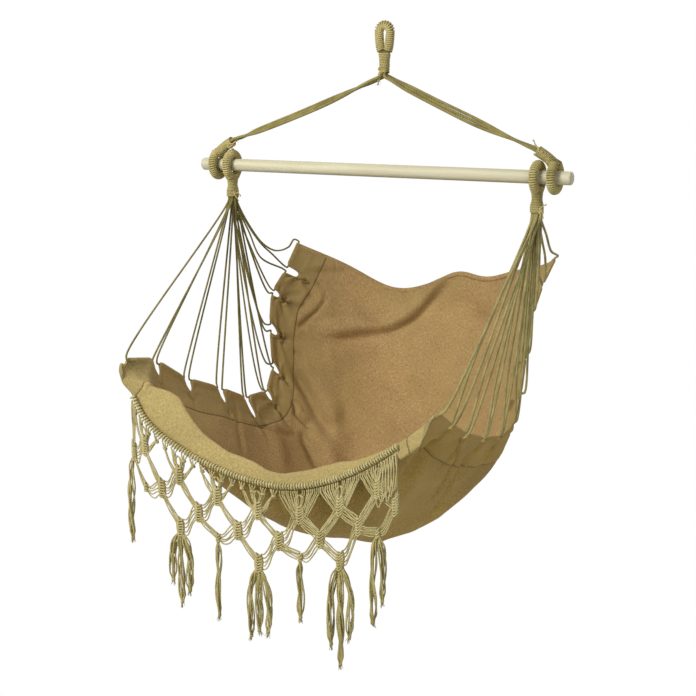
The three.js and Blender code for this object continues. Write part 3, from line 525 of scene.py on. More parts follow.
# Turns of cord round a path, 'wide' away to the side and 'narrow' away across it
def windRound(cord, path, side, pitch, wide, radius, narrow=None):
    path = evenly(np.array(path), 0.6)
    along = lengthsAlong(path)
    at = np.linspace(0, along[-1], int(along[-1] / pitch * 14))
    centre = np.stack([np.interp(at, along, path[:, k]) for k in range(3)], axis=1)
    tangent = unit(np.gradient(centre, axis=0))
    across = unit(side - tangent * (tangent @ side)[:, None])
    outward = np.cross(tangent, across)
    angle = 2 * math.pi * at / pitch
    wide, narrow = wide(at), (narrow or wide)(at)
    line = centre + across * (wide * np.cos(angle))[:, None] + outward * (narrow * np.sin(angle))[:, None]
    cord.add(line, radius, plies=2, pitch=6.5, groove=0.2)


# Smooth profile through (distance, value) pairs
def steps(*pairs):
    table = np.array(pairs, float)

    def value(at):
        i = np.clip(np.searchsorted(table[:, 0], at) - 1, 0, len(table) - 2)
        share = fade((at - table[i, 0]) / (table[i + 1, 0] - table[i, 0]))
        return mix(table[i, 1], table[i + 1, 1], share)
    return value


evenReach = steps((0, winding["reach"]), (400, winding["reach"]))


def frayedTail(cord, points):
    cord.add(smoothLine(points, 2), 1.6, plies=2, pitch=6, taper=0.3)
    end, way = np.array(points[-1]), unit(np.array(points[-1]) - np.array(points[-2]))
    for _ in range(6):
        hair = unit(way + rng.normal(0, 0.45, 3)) * (4 + 4 * rng.random())
        cord.add(np.array([end - way, end + hair * 0.5, end + hair + rng.normal(0, 0.8, 3)]), 0.45, sides=4)


# Small knot, seen as a ball of turned cord
def knotBall(cord, centre, size):
    turn = np.linspace(0, 5 * math.pi, 40)
    ball = np.stack([size * np.cos(turn), size * np.sin(turn) * np.cos(turn / 5),
                     size * np.sin(turn) * np.sin(turn / 5)], axis=-1)
    cord.add(centre + ball, 1.7, plies=2, pitch=6)


# Core through a ring and its two legs, and the cord wound round the ring
def windRing(name, body, ring, legs, side, thinner=0.0):
    core, wrap = CordMesh(), CordMesh()
    core.add(smoothLine([*reversed(legs[0]), *ring, *legs[1]], 2), winding["core"] - thinner, pitch=400, sides=12)
    # The core takes the painted shade cord, which stands in for the shade between the turns of the winding
    core.build(f"{name}Core", paintedShadeCord, body, nodeOf(f"{name}Core"))
    windRound(wrap, smoothLine(ring, 1), side, winding["pitch"], evenReach, winding["radius"])
    wrap.build(f"{name}Winding", cottonCord, body, nodeOf(f"{name}Winding"))


# The tails and knots that stand out of a whipping, by their places from 'foot'
def endWhipping(whip, name, body, foot, tails, knots):
    for points in tails:
        frayedTail(whip, [foot + vec(*p) for p in points])
    for place, size in knots:
        knotBall(whip, foot + vec(*place), size)
    whip.build(f"{name}Whipping", cottonCord, body, nodeOf(f"{name}Whipping"))


def addEye(name, eye, bundle, body, tails, knots):
    foot, axis = eye["foot"], eye["axis"]
    centre = vec(eye["x"], 0, bar["height"])
    ring = [centre + (p - centre) * winding["fuller"] for p in eye["ring"]]
    neck = [foot + axis * s for s in (0, eyes["neck"] / 2, eyes["neck"])]
    legs = [[p + vec(0, aside * legSpacing, 0) for p in neck] for aside in (-1, 1)]
    windRing(name, body, ring, legs, vec(1, 0, 0))
    whip = CordMesh()
    start = centre + vec(0, 0, math.copysign(21, axis[2]))
    stop = foot + axis * (eyes["neck"] + eyes["overlap"])
    line = smoothLine([start, mix(start, foot, 0.6), foot + axis * 5, stop], 1)
    long = lengthsAlong(line)[-1]
    end = bundle + winding["wrap"]
    windRound(whip, line, vec(0, 1, 0), winding["wrapPitch"],
              steps((0, 20), (10, 15.5), (24, 11.5), (long - 12, end), (long, end)), winding["wrap"],
              steps((0, 9.6), (10, 10.2), (24, 9.8), (long - 12, end), (long, end)))
    whip.add(smoothLine([start, foot, foot + axis * eyes["neck"]], 3), 8.4, pitch=400, sides=10)
    endWhipping(whip, name, body, foot, tails, knots)


# Half the thickness of the bundle of cords that each neck closes over
ropeBundle = (2 * ropes["cadRadius"] + gap) + ropes["cadRadius"]
fanBundle = fan["cadRadius"] + max(math.hypot(fanSpacing[0] * (n - 1) / 2, fanSpacing[1] * (i - 2))
                                   for i, n in enumerate(fan["rows"]))
addEye("upperEyeLeft", eyeFrames["upperLeft"], ropeBundle, "bridle",
       [[(20, -9, 10), (30, -12, 7), (40, -13, 11)], [(24, -9, 14), (36, -11, 13), (47, -11, 20)],
        [(18, -8, 9), (26, -11, 4), (35, -12, 3)]], [((22, -9, 12), 2.6)])
addEye("upperEyeRight", eyeFrames["upperRight"], ropeBundle, "bridle",
       [[(-22, -9, 22), (-30, -10, 30), (-33, -10, 36)], [(-10, -9, 2), (-3, -12, 4), (2, -13, 1)]],
       [((-24, -8, 20), 2.8), ((-16, -9, 15), 2.4)])
addEye("harnessEyeLeft", eyeFrames["harnessLeft"], fanBundle, "seat",
       [[(6, -9, -24), (14, -12, -27), (22, -13, -24), (27, -14, -27)],
        [(8, -9, -26), (15, -12, -31), (20, -13, -38)]],
       [((9, -8, -25), 2.6)])
addEye("harnessEyeRight", eyeFrames["harnessRight"], fanBundle, "seat",
       [[(8, -8, -26), (15, -11, -22), (20, -12, -18)], [(9, -8, -28), (16, -11, -32), (18, -12, -40)],
        [(8, -8, -30), (13, -11, -37), (13, -12, -45)]], [((12, -7, -27), 3.2), ((10, -8, -33), 2.6)])


def addHangingLoop():
    arch = -loop["slit"] / 2
    low = loopLegEnd - 4
    inner = winding["reach"] + winding["radius"]
    ring = [vec(-inner + 2.6, 0, low), vec(-inner, 0, low + 8), vec(-loopRadius + 1.4, 0, low + 22)]
    ring += [vec(loopRadius * math.cos(a), 0, arch + loopRadius * math.sin(a)) for a in np.linspace(math.pi, 0, 13)]
    ring += [vec(loopRadius - 1.4, 0, low + 22), vec(inner, 0, low + 8), vec(inner - 2.6, 0, low)]
    # The core's ends stop a little short inside the neck, which leaves them room to swing over the ropes
    legs = [[vec(s * legSpacing, 0, loopNeckStart), vec(s * legSpacing, 0, loopNeckEnd + 4.5)] for s in (-1, 1)]
    windRing("hangingLoop", "hanger", ring, legs, vec(0, 1, 0), 0.4)
    whip = CordMesh()
    top = loopNeckStart + 2.6
    long = top - neckBottom
    windRound(whip, [vec(0, 0, top), vec(0, 0, neckBottom)], vec(1, 0, 0), winding["wrapPitch"],
              steps((0, 12.6), (14, 10.8), (long, 9.6)), winding["wrap"], steps((0, 9.2), (14, 9.4), (long, 9.4)))
    whip.add(np.array([vec(0, 0, top - 2), vec(0, 0, neckBottom + 2)]), 8.2, pitch=400, sides=10)
    endWhipping(whip, "hangingLoop", "bridle", vec(0, 0, neckBottom),
                [[(-5, -8, 6), (-9, -10, -4), (-10, -10, -20)], [(-4, -8, 4), (-6, -11, -6), (-6, -11, -14)]],
                [((-8, -6, 8), 3.0), ((-3, -9, 1), 2.8), ((5, -8, 4), 2.6)])


addHangingLoop()
print("eyes and loop wound")

# Canvas: plain woven slub cotton, so thicker threads fleck it lighter and darker along both
# directions, the nap kills gloss and a soft sheen shows only at a grazing angle
canvasLook = {"woven": ("#917246", "#A98A5C", "#BCA072"), "turned": ("#917E4C", "#A5925E", "#B5A372"),
              "doubled": "#9F8B56", "thread": "#5A4525", "slub": 2.2, "weave": 2.4, "patch": 142.857, "faded": 312.5,
              "seam": 0.078, "seamWidth": 0.0017, "stitch": 0.006}


def canvasMaterial(name, **changes):
    look = dict(canvasLook, **changes)
    material = bpy.data.materials.new(name)
    add = nodesOf(material)
    uv, hem, rim = (add("UVMap", {"uv_map": layer})[0] for layer in ("clothUV", "hemUV", "rimUV"))
    slubs = []
    for stretch in ((1, 0.3, 1), (0.3, 1, 1)):  # weft and warp slubs are long and thin
        drawn = add("VectorMath", {"operation": "MULTIPLY"}, i0=uv, i1=stretch)[0]
        slubs.append(add("TexNoise", Vector=drawn, Scale=1000 / look["slub"], Detail=2.0, Roughness=0.55)[0])
    fleck = add("Math", {"operation": "ADD"}, i0=slubs[0], i1=slubs[1])[0]
    fleck = add("Math", {"operation": "MULTIPLY"}, i0=fleck, i1=0.5)[0]
    woven, turned = (add("ValToRGB", {"stops": stopsAt((0.36, 0.5, 0.64), look[part])}, Fac=fleck)[0]
                     for part in ("woven", "turned"))
    # The doubled cloth of the hems and some large patches are paler and more olive
    fromEdge, alongEdge = add("SeparateXYZ", i0=hem)[:2]
    faded = add("TexNoise", Vector=uv, Scale=1000 / look["faded"], Detail=2.0)[0]
    faded = add("MapRange", i0=faded, i1=0.42, i2=0.66, i3=0.0, i4=0.45)[0]
    double = add("MapRange", i0=fromEdge, i1=look["seam"], i2=look["seam"] + 0.002, i3=0.55, i4=0.0)[0]
    double = add("Math", {"operation": "MAXIMUM"}, i0=double, i1=faded)[0]
    body = add("Mix", {"data_type": "RGBA"}, Factor=double, i6=woven, i7=linear(look["doubled"]))[2]
    behindRim = add("SeparateXYZ", i0=rim)[0]
    front = add("MapRange", i0=behindRim, i1=-0.004, i2=0.012, i3=1.0, i4=0.0)[0]
    body = add("Mix", {"data_type": "RGBA"}, Factor=front, i6=body, i7=turned)[2]
    patch = add("TexNoise", Vector=uv, Scale=1000 / look["patch"], Detail=5.0, Roughness=0.62)[0]
    shade = add("ValToRGB", {"stops": [(0.32, (0.86, 0.86, 0.84, 1)), (0.68, (1.1, 1.1, 1.06, 1))]}, Fac=patch)[0]
    body = add("Mix", {"data_type": "RGBA", "blend_type": "MULTIPLY"}, i0=1.0, i6=body, i7=shade)[2]
    # Stitches along the seam, and the pucker that they pull in
    off = add("Math", {"operation": "SUBTRACT"}, i0=fromEdge, i1=look["seam"])[0]
    off = add("Math", {"operation": "ABSOLUTE"}, i0=off)[0]
    seam = add("MapRange", i0=off, i1=look["seamWidth"] * 0.5, i2=look["seamWidth"] * 1.5, i3=1.0, i4=0.0)[0]
    beat = add("Math", {"operation": "PINGPONG"}, i0=alongEdge, i1=look["stitch"] / 2)[0]
    beat = add("MapRange", i0=beat, i1=0.0, i2=look["stitch"] / 2, i3=0.5, i4=1.0)[0]
    stitched = add("Math", {"operation": "MULTIPLY"}, i0=seam, i1=beat)[0]
    color = add("Mix", {"data_type": "RGBA"}, Factor=stitched, i6=body, i7=linear(look["thread"]))[2]
    weave = add("TexVoronoi", Vector=uv, Scale=1000 / look["weave"])[0]
    height = add("Math", {"operation": "MULTIPLY_ADD"}, i0=weave, i1=0.4, i2=fleck)[0]
    pucker = add("MapRange", i0=off, i1=0.0, i2=0.008, i3=1.6, i4=0.0)[0]
    height = add("Math", {"operation": "SUBTRACT"}, i0=height, i1=pucker)[0]
    bumped = add("Bump", Strength=0.55, Distance=0.0012, Height=height)[0]
    shader = add("BsdfPrincipled", Base_Color=color, Normal=bumped, Roughness=0.92, Sheen_Weight=0.05,
                 Sheen_Roughness=0.5, Specular_IOR_Level=0.2)
    add("OutputMaterial", Surface=shader[0])
    return material


canvas = canvasMaterial("slubCottonCanvas")
# The reverse of the cloth is the unpressed side, a little duller and more olive
canvasReverse = canvasMaterial("slubCottonReverse", woven=("#8A7038", "#A48848", "#B89C5C"), doubled="#A48848",
                               turned=("#80704A", "#948559", "#A6986C"), thread="#75602F")

# Seat cloth: one grid that runs from the left seam round the left tabs, over the seat, round the
# right tabs and back to the right seam
cloth = {"columns": 150, "denser": 0.42, "wrapSteps": 6, "underColumns": 10, "tabRows": 15, "bandRows": 6,
         "wrap": 3.8, "tightWrap": 1.2, "frontWrap": 2.2, "under": 1.75, "hem": 76, "lift": 16, "bulge": 17, "tail": 32,
         "crease": 3.8, "pleat": 19, "ripple": (3.0, 1.1), "rippleSize": (130, 46), "roll": 9, "cutReach": 120,
         "tabReach": 60, "drawn": (1050, 1300), "rowLength": 1100}
# How far the front's rim rises over its even line, by place across
rimRise = np.array([(0, 4), (0.02, 12), (0.044, 26), (0.065, 35), (0.088, 42), (0.114, 46), (0.142, 47), (0.173, 36),
                    (0.207, 28), (0.244, 23), (0.284, 23), (0.326, 20), (0.37, 22), (0.415, 20), (0.462, 11),
                    (0.509, 9), (0.557, 14), (0.603, 17), (0.648, 20), (0.692, 19), (0.744, 8), (0.806, 0),
                    (0.87, -8), (0.93, -9), (0.98, -3), (1, 0)])
# Depth and bluntness of each notch and how hard each tab is gathered, from the front to the back
notches = {-1: [(38, 0.3), (32, 0.1), (38, 0.3), (58, 0.5), (30, 0.3), (26, 0.4), (24, 0.5), (20, 0.5), (34, 1.0)],
           1: [(13, 0.2), (14, 0.3), (13, 0.2), (13, 0.3), (14, 0.3), (14, 0.3), (16, 0.3), (18, 0.3), (24, 0.5)]}
gathers = {-1: [0.2, 0.4, 0.3, 0.8, 1.1, 0.9, 1.2, 1.5, 1.6, 0.3],
           1: [0.9, 1.0, 0.9, 1.0, 1.0, 0.9, 1.0, 0.8, 0.7, 0.6]}
# Creases as (places across and along, width, depth, height of the roll beside it), as the photo shows them
creases = [
    ([(0.119, 0.769), (0.188, 0.8), (0.25, 0.831), (0.325, 0.863), (0.419, 0.913), (0.475, 0.95), (0.525, 0.975),
      (0.57, 0.998)], 16, 10, 13),
    ([(0.062, 0.75), (0.088, 0.788), (0.106, 0.831), (0.119, 0.875), (0.113, 0.906)], 6, 6, 4),
    ([(0.072, 0.815), (0.076, 0.85), (0.085, 0.885)], 7, 5, 2),
    ([(0.045, 0.93), (0.1, 0.955), (0.17, 0.985)], 11, 4, 3),
    ([(0.07, 0.58), (0.09, 0.552), (0.115, 0.553), (0.145, 0.565)], 9, 11, 4),
    ([(0.115, 0.53), (0.188, 0.506), (0.238, 0.488), (0.29, 0.478)], 22, 16, 8),
    ([(0.06, 0.42), (0.088, 0.444), (0.125, 0.515)], 9, 5, 2),
    ([(0.0, 0.355), (0.044, 0.331), (0.081, 0.312), (0.14, 0.28)], 8, 4, 1),
    ([(0.05, 0.66), (0.1, 0.64), (0.16, 0.6), (0.22, 0.585)], 26, 14, 8),
    ([(0.62, 0.93), (0.7, 0.895), (0.8, 0.9), (0.9, 0.94)], 26, 8, 5),
    ([(0.985, 0.262), (0.963, 0.275), (0.938, 0.294), (0.881, 0.319), (0.812, 0.35), (0.744, 0.369)], 13, -10, -2),
    ([(0.994, 0.175), (0.963, 0.225), (0.9, 0.262), (0.83, 0.29)], 6, -12, -3),
    ([(0.97, 0.1), (0.925, 0.098), (0.86, 0.12)], 26, -15, -3),
    ([(0.55, 0.27), (0.7, 0.35), (0.81, 0.42), (0.9, 0.47), (1.0, 0.52)], 75, 20, 0)]


def creaseHeight(across, along):
    point = np.stack([across * cloth["drawn"][0], np.full(len(across), along * cloth["drawn"][1])], axis=-1)
    height = np.zeros(len(across))
    for places, width, depth, roll in creases:
        line = np.array(places) * cloth["drawn"]
        parts = np.linalg.norm(np.diff(line, axis=0), axis=1)
        walked = np.concatenate([[0], np.cumsum(parts)]) / parts.sum()
        nearest, signed, share = np.full(len(across), 1e9), np.zeros(len(across)), np.zeros(len(across))
        for k in range(len(parts)):
            way = (line[k + 1] - line[k]) / parts[k]
            t = np.clip((point - line[k]) @ way, 0, parts[k])
            off = point - line[k] - t[:, None] * way
            away = np.linalg.norm(off, axis=1)
            closer = away < nearest
            nearest = np.where(closer, away, nearest)
            signed = np.where(closer, np.copysign(away, off[:, 1] * way[0] - off[:, 0] * way[1]), signed)
            share = np.where(closer, mix(walked[k], walked[k + 1], t / parts[k]), share)
        ends = fade(share / 0.2) * fade((1 - share) / 0.2)
        height += ends * (roll * bump(signed, 2.1 * width, 1.5 * width) - depth * bump(signed, 0, width))
    return height


# (along, place across its notch or None, tab number, share of the band) for each row, the band first
def clothRows():
    found = [(0, None, 0, k / cloth["bandRows"]) for k in range(cloth["bandRows"])]
    found += [(tabs[0][0] * k / 3, None, 0, 1) for k in range(3)]
    for i, (start, stop) in enumerate(tabs):
        found += [(mix(start, stop, k / cloth["tabRows"]), None, i, 1) for k in range(cloth["tabRows"] + 1)]
        if i + 1 < len(tabs):
            found += [(mix(stop, tabs[i + 1][0], u), u, i, 1)
                      for u in (0.07, 0.17, 0.3, 0.42, 0.5, 0.58, 0.7, 0.83, 0.93)]
    return found


# How far a row is cut back at one side: at the band's rounded end, a tab's corners or a notch
def cutBack(side, row):
    share, u, tab, bandShare = row
    t = (share - tabs[tab][0]) / seat["tab"]
    if bandShare < 1:
        return np.interp(bandShare, (0, 0.25, 0.5, 0.8, 1), (24, 10, 4, 9, 20))
    if share < tabs[0][0]:
        return np.interp(t * seat["tab"] / tabs[0][0], (-1, -0.67, -0.33, 0), (20, 12, 5, 0))
    if u is not None:
        depth, blunt = notches[side][tab]
        across = abs(2 * u - 1)
        return depth * mix(0.15, 1, mix(1 - across**1.5, (1 - across**3) ** 0.5, blunt))
    before, after = notches[side][max(tab - 1, 0)][0], notches[side][min(tab, 8)][0]
    cut = before * 0.15 * np.clip(1 - t / 0.14, 0, 1) ** 2 * (tab > 0)
    return cut + after * 0.15 * np.clip(1 - (1 - t) / 0.14, 0, 1) ** 2 * (tab < len(tabs) - 1)


# Height of the gathers that spread from the notches and of the pleats that run in from them
def gatherHeight(m, left, share, tab):
    gather, pleat = np.zeros(len(m)), np.zeros(len(m))
    for side, j in ((side, j) for side in (-1, 1) for j in (tab - 1, tab) if 0 <= j < len(tabs) - 1):
        away = m - notches[side][j][0] * 0.8
        aside = (share - tabs[j][1] - (tabs[1][0] - tabs[0][0] - seat["tab"]) / 2) * cloth["rowLength"]
        reach, turn = np.hypot(away, aside), np.arctan2(aside, away + 1e-6)
        strong = gathers[side][j + (aside > 0)]
        gather += (left == (side < 0)) * strong * np.exp(-reach / (30 + 14 * strong)) * fade(
            reach / 12) * fade(m / 12) * (np.cos(6.5 * turn + 2.3 * j) + 0.45 * np.cos(11 * turn + j))
        pleat += (left == (side < 0)) * strong * side * bump(aside, 0, 5) * np.exp(
            -np.maximum(away, 0) / 34) * fade((away + 12) / 10)
    return cloth["crease"] * gather, pleat * np.where(left, cloth["pleat"] * 0.5, cloth["pleat"])


def fractal(points, size, seed):
    return np.array([noise.fractal(Vector(p) / size + Vector((seed, 0, 0)), 0.8, 2.1, 3) for p in points])


# Where the turned-over rim runs: off the first tab's back end at the left seam, else along the front
def rimShare(across):
    return 0.088 * np.clip(1 - across / 0.055, 0, 1)


# How far back the pale turned-over cloth is seen
def paleShare(across):
    return 0.095 * np.clip(1.5 - across / 0.055, 0, 1)


def denserAtSides(share):
    return share - cloth["denser"] * np.sin(2 * math.pi * share) / (2 * math.pi)


# A row of the cloth from under the left tabs, round them, over the seat and under the right tabs,
# with each point's distance from its edge
def clothRow(row, base, tunnels):
    share, u, tab, bandShare = row
    fine = np.linspace(0, 1, 401)
    place = clothAt(fine, share)
    if bandShare < 1:
        place = mix(drape(fine, 0), place, bandShare)
    walked = lengthsAlong(place)
    whole = walked[-1]
    cuts = {side: cutBack(side, row) for side in (-1, 1)}

    # Cloth at distances from its left edge with the notches cut, the tabs straight and the gathers in
    def surface(distance):
        m = np.minimum(distance, whole - distance)
        left = distance < whole / 2
        moved = m + np.where(left, cuts[-1], cuts[1]) * (1 - fade(m / cloth["cutReach"]))
        across = np.interp(np.where(left, moved, whole - moved), walked, fine)
        found = clothAt(across, share)
        if bandShare < 1:
            found = mix(drape(across, 0), found, bandShare)
        normal = normalsAt(across, share)
        if u is None and share >= tabs[0][0]:
            for side, edge in ((-1, 0), (1, 1)):
                ends = tunnels[side][tab]["ends"]
                off = mix(ends[0], ends[1], (share - tabs[tab][0]) / seat["tab"]) - clothAt(edge, share)[0]
                found = found + off * ((1 - fade(m / cloth["tabReach"])) * (left == (side < 0)))[:, None]
        settled = fade((share - 0.02) / 0.08)
        gather, pleat = gatherHeight(m, left, share, tab)
        height = gather * mix(0.35, 1, settled) + creaseHeight(across, share) * settled + pleat * settled
        found = found + normal * height[:, None]
        rise = np.interp(across, rimRise[:, 0], rimRise[:, 1])
        turned = 1 - fade((share - rimShare(across)) / 0.11)
        found = found + (rise * bandShare * turned)[:, None] * vec(0.2, 0.5, 1)
        edgeRoll = bump(share, rimShare(across), 0.02) * fade(m / 14) * (across < 0.055) * (bandShare == 1)
        found = found + cloth["roll"] * edgeRoll[:, None] * vec(0.3, -0.2, 0.7)
        corner = cloth["bulge"] * bump(distance, 18, 28) * (
            np.interp(bandShare, (0, 0.3, 0.6, 1), (0.8, 1, 1.05, 0.8)) * (1 - fade(share / 0.05)))
        tail = cloth["tail"] * (1 - bandShare) * fade((across - 0.875) / 0.02) * fade(m / 30)
        found = found + corner[:, None] * vec(-0.9, -0.42, -0.1) + tail[:, None] * vec(0.2, -0.3, -0.9)
        return found, normal, moved

    wrap = cloth["wrap"] if u is None else mix(cloth["wrap"], cloth["tightWrap"], fade(min(u, 1 - u) * 7))
    if bandShare < 1 or share < tabs[0][0]:
        wrap = cloth["frontWrap"]
    place, normal, moved = surface(base * whole)
    lift = wrap * (1 - fade(np.minimum(base, 1 - base) * whole / cloth["lift"]))
    line, distances = [place + normal * lift[:, None]], [moved]
    near = np.linspace(0, cloth["hem"], cloth["underColumns"] + 1)
    drop = cloth["under"] + (wrap - cloth["under"]) * (1 - fade(near / cloth["lift"]))
    for sign, edge, inner in ((-1, 0, 1), (1, -1, -2)):
        low, lowNormal, lowMoved = surface(near if sign < 0 else whole - near)
        low = low - lowNormal * drop[:, None]
        up = normal[edge]
        out = unit(place[edge] - place[inner])
        out = unit(out - up * (out @ up))
        turns = [math.pi * k / cloth["wrapSteps"] for k in range(1, cloth["wrapSteps"])]
        wrapped = np.array([place[edge] + wrap * (out * math.sin(a) + up * math.cos(a)) for a in turns])
        still = np.full(len(turns), moved[edge])
        if sign < 0:
            line, distances = [low[::-1], wrapped[::-1], *line], [lowMoved[::-1], still, *distances]
        else:
            line, distances = [*line, wrapped, low], [*distances, still, lowMoved]
    return np.concatenate(line), np.concatenate(distances)


def buildCloth():
    plan = clothRows()
    base = denserAtSides(np.linspace(0, 1, cloth["columns"] + 1))
    tunnels = {sign: [tabTunnel(sign, tab) for tab in tabs] for sign in (-1, 1)}
    points, hem = (np.array(parts) for parts in zip(*(clothRow(row, base, tunnels) for row in plan)))
    hem = hem / 1000
    lipRow = cloth["bandRows"]
    for _ in range(3):  # round the rim that the band turns over
        near = slice(lipRow - 3, lipRow + 4)
        points[near] = (points[lipRow - 4:lipRow + 3] + 2 * points[near] + points[lipRow - 2:lipRow + 5]) / 4
    rowCount, columnCount = points.shape[:2]
    across = np.stack([lengthsAlong(line) for line in points])
    across -= across[:, columnCount // 2][:, None]
    alongLine = np.stack([lengthsAlong(points[:, c]) for c in range(columnCount)], axis=1)
    middle = alongLine[:, columnCount // 2][:, None] + 0 * alongLine
    flat = np.stack([across, middle, np.zeros_like(across)], axis=-1).reshape(-1, 3)
    ripple = sum(fractal(flat.tolist(), size, seed) * height
                 for size, seed, height in zip(cloth["rippleSize"], (3.1, 9.4), cloth["ripple"]))
    normals = unit(np.cross(np.gradient(points, axis=1), np.gradient(points, axis=0)))
    underCount = cloth["underColumns"] + cloth["wrapSteps"]
    column = np.arange(columnCount)
    inward = fade((np.minimum(column, columnCount - 1 - column) - underCount - 10) / 14)
    frontKeep = fade((np.arange(rowCount) - lipRow) / 10)
    points = points + normals * (ripple.reshape(rowCount, columnCount) * inward[None, :]
                                 * frontKeep[:, None])[..., None]
    faces = [(r * columnCount + c, r * columnCount + c + 1, (r + 1) * columnCount + c + 1, (r + 1) * columnCount + c)
             for r in range(rowCount - 1) for c in range(columnCount - 1)]
    mesh = bpy.data.meshes.new("seatCanvas")
    mesh.from_pydata((points.reshape(-1, 3) / 1000).tolist(), [], faces)
    corners = np.array(faces).ravel()
    flat[:, 1] = alongLine.ravel()
    seats = denserAtSides(np.clip(np.interp(column, (underCount, columnCount - 1 - underCount), (0, 1)), 0, 1))
    behind = np.array([(share - paleShare(seats)) * (cloth["drawn"][1] / 1000) - 0.06 * (1 - bandShare)
                       for share, _, _, bandShare in plan])
    for name, values in (("clothUV", flat[:, :2] / 1000),
                         ("hemUV", np.stack([hem.ravel(), flat[:, 1] / 1000], axis=-1)),
                         ("rimUV", np.stack([behind.ravel(), 0 * hem.ravel()], axis=-1))):
        mesh.uv_layers.new(name=name).data.foreach_set("uv", values[corners].astype(np.float32).ravel())
    piece = finishPiece("seatCanvas", mesh, canvas, "seat", "canvas", "seat_cloth")
    mesh.materials.append(canvasReverse)
    under = cloth["underColumns"] + cloth["wrapSteps"] // 2
    for index, face in enumerate(mesh.polygons):
        c = index % (columnCount - 1)
        if c < under or c >= columnCount - 1 - under:
            face.material_index = 1
    solid = piece.modifiers.new("thickness", "SOLIDIFY")
    solid.thickness = seat["thickness"] / 1000
    solid.offset = 0
    solid.material_offset = 1
    width = (across[:, -1] - across[:, 0]) / 1000
    length = (alongLine[-1] - alongLine[0]) / 1000
    print(f"canvas: {rowCount} x {columnCount}, widths {width.min():.3f} to {width.max():.3f} m, "
          f"lengths {length.min():.3f} to {length.max():.3f} m")
    return piece, width, length


seatCanvas, clothWidths, clothLengths = buildCloth()

# Narrow rolled hem along the top of the back: a flat tube of the same canvas
topHem = {"half": 6.0, "thick": 2.0}


def buildTopHem():
    across = np.linspace(0.004, 0.996, 200)
    line = clothAt(across, 1.0)
    below = unit(clothAt(across, 0.99) - line)
    behind = -normalsAt(across, 1.0)
    bm = bmesh.new()
    uv = bm.loops.layers.uv.new("clothUV")
    hemLayer = bm.loops.layers.uv.new("hemUV")
    rimLayer = bm.loops.layers.uv.new("rimUV")
    along = lengthsAlong(line)
    rings = []
    for i in range(len(line)):
        ring = []
        for k in range(10):
            a = 2 * math.pi * k / 10
            point = line[i] + below[i] * (topHem["half"] * (0.72 + math.cos(a))) + behind[i] * (
                topHem["thick"] * math.sin(a) * (1 + 0.12 * math.sin(i * 0.9)))
            ring.append(bm.verts.new(point / 1000))
        rings.append(ring)
    for i in range(len(rings) - 1):
        for k in range(10):
            face = bm.faces.new((rings[i][k], rings[i + 1][k], rings[i + 1][(k + 1) % 10], rings[i][(k + 1) % 10]))
            for corner, (u, v) in zip(face.loops, ((i, k), (i + 1, k), (i + 1, k + 1), (i, k + 1))):
                corner[uv].uv = (along[u] / 1000, 1.5 + v * 0.003)
                corner[hemLayer].uv = (0.2 if v % 10 else canvasLook["seam"], along[u] / 1000)
                corner[rimLayer].uv = (1, 0)
    bm.faces.new(rings[0])
    bm.faces.new(reversed(rings[-1]))
    bmesh.ops.recalc_face_normals(bm, faces=bm.faces)
    return finishPiece("backTopHem", meshOf(bm, "backTopHem"), canvas, "seat", "canvas")


backTopHem = buildTopHem()
print("canvas made")

# Fringe: knots over a header cord, strands, leaf knots and tassels
fringe = {"start": 0.03, "end": 0.89, "ahead": 4.2, "header": 3.3, "cadHeader": 3.0, "panels": 7, "dense": 4,
          "strandWidth": 7, "rowDrop": 57, "headPitch": 6.6, "strand": 1.7, "step": 4.0, "bandSpacing": 3.9}


def hemLine(across):
    return drape(across, 0) + vec(0, -fringe["ahead"], 0)


headerPoints = hemLine(np.linspace(fringe["start"], fringe["end"], 27))
headerLine = smoothLine(headerPoints, 2)
headerAlong = lengthsAlong(headerLine)
headerLength = headerAlong[-1]
headerTangent = unit(np.gradient(headerLine, axis=0))
netTop = fringe["cadHeader"] + 3 * gap


def headerAt(along, table=headerLine):
    at = np.clip(along, 0, headerLength)
    return np.array([np.interp(at, headerAlong, table[:, k]) for k in range(3)])


def netPlace(along, drop, depth=0.0):
    tangent = headerAt(along, headerTangent)
    below = np.cross(tangent, (0, 1, 0))
    below[1] = 0
    return headerAt(along) - unit(below) * netTop + vec(0, depth, -drop)


netPitch = (headerLength - 2 * fringe["strandWidth"]) / fringe["panels"]


def panelLine(i):
    return fringe["strandWidth"] + i * netPitch


header, knotInsides = CordMesh(), CordMesh()
header.add(headerLine, fringe["header"], pitch=14, sides=8)
heads = CordMesh()
count = int(headerLength / fringe["headPitch"])
for i in range(count):
    along = (i + 0.5) * headerLength / count
    centre, tangent = headerAt(along), headerAt(along, headerTangent)
    above = unit(np.cross(tangent, (0, 1, 0)))
    above = above * math.copysign(1, above[2])
    front = unit(np.cross(above, tangent))
    front = front * math.copysign(1, -front[1])
    lean = tangent * rng.normal(0, 0.5)
    path = [centre - above * 6.2 + front * 1.8 + lean, centre - above * 3.4 + front * 3.6,
            centre + front * 4.2, centre + above * 3.2 + front * 2.9, centre + above * 4.2,
            centre + above * 2.7 - front * 2.7, centre - front * 3.5, centre - above * 5 - front * 1.7]
    heads.add(np.array(path), 2.45 + rng.normal(0, 0.12), plies=2, pitch=30, groove=0.15, phase=rng.random())
headsPiece = heads.build("headerKnots", lighterFringeCord, "seat")


def isLeaf(i):
    return i % 2 == 1


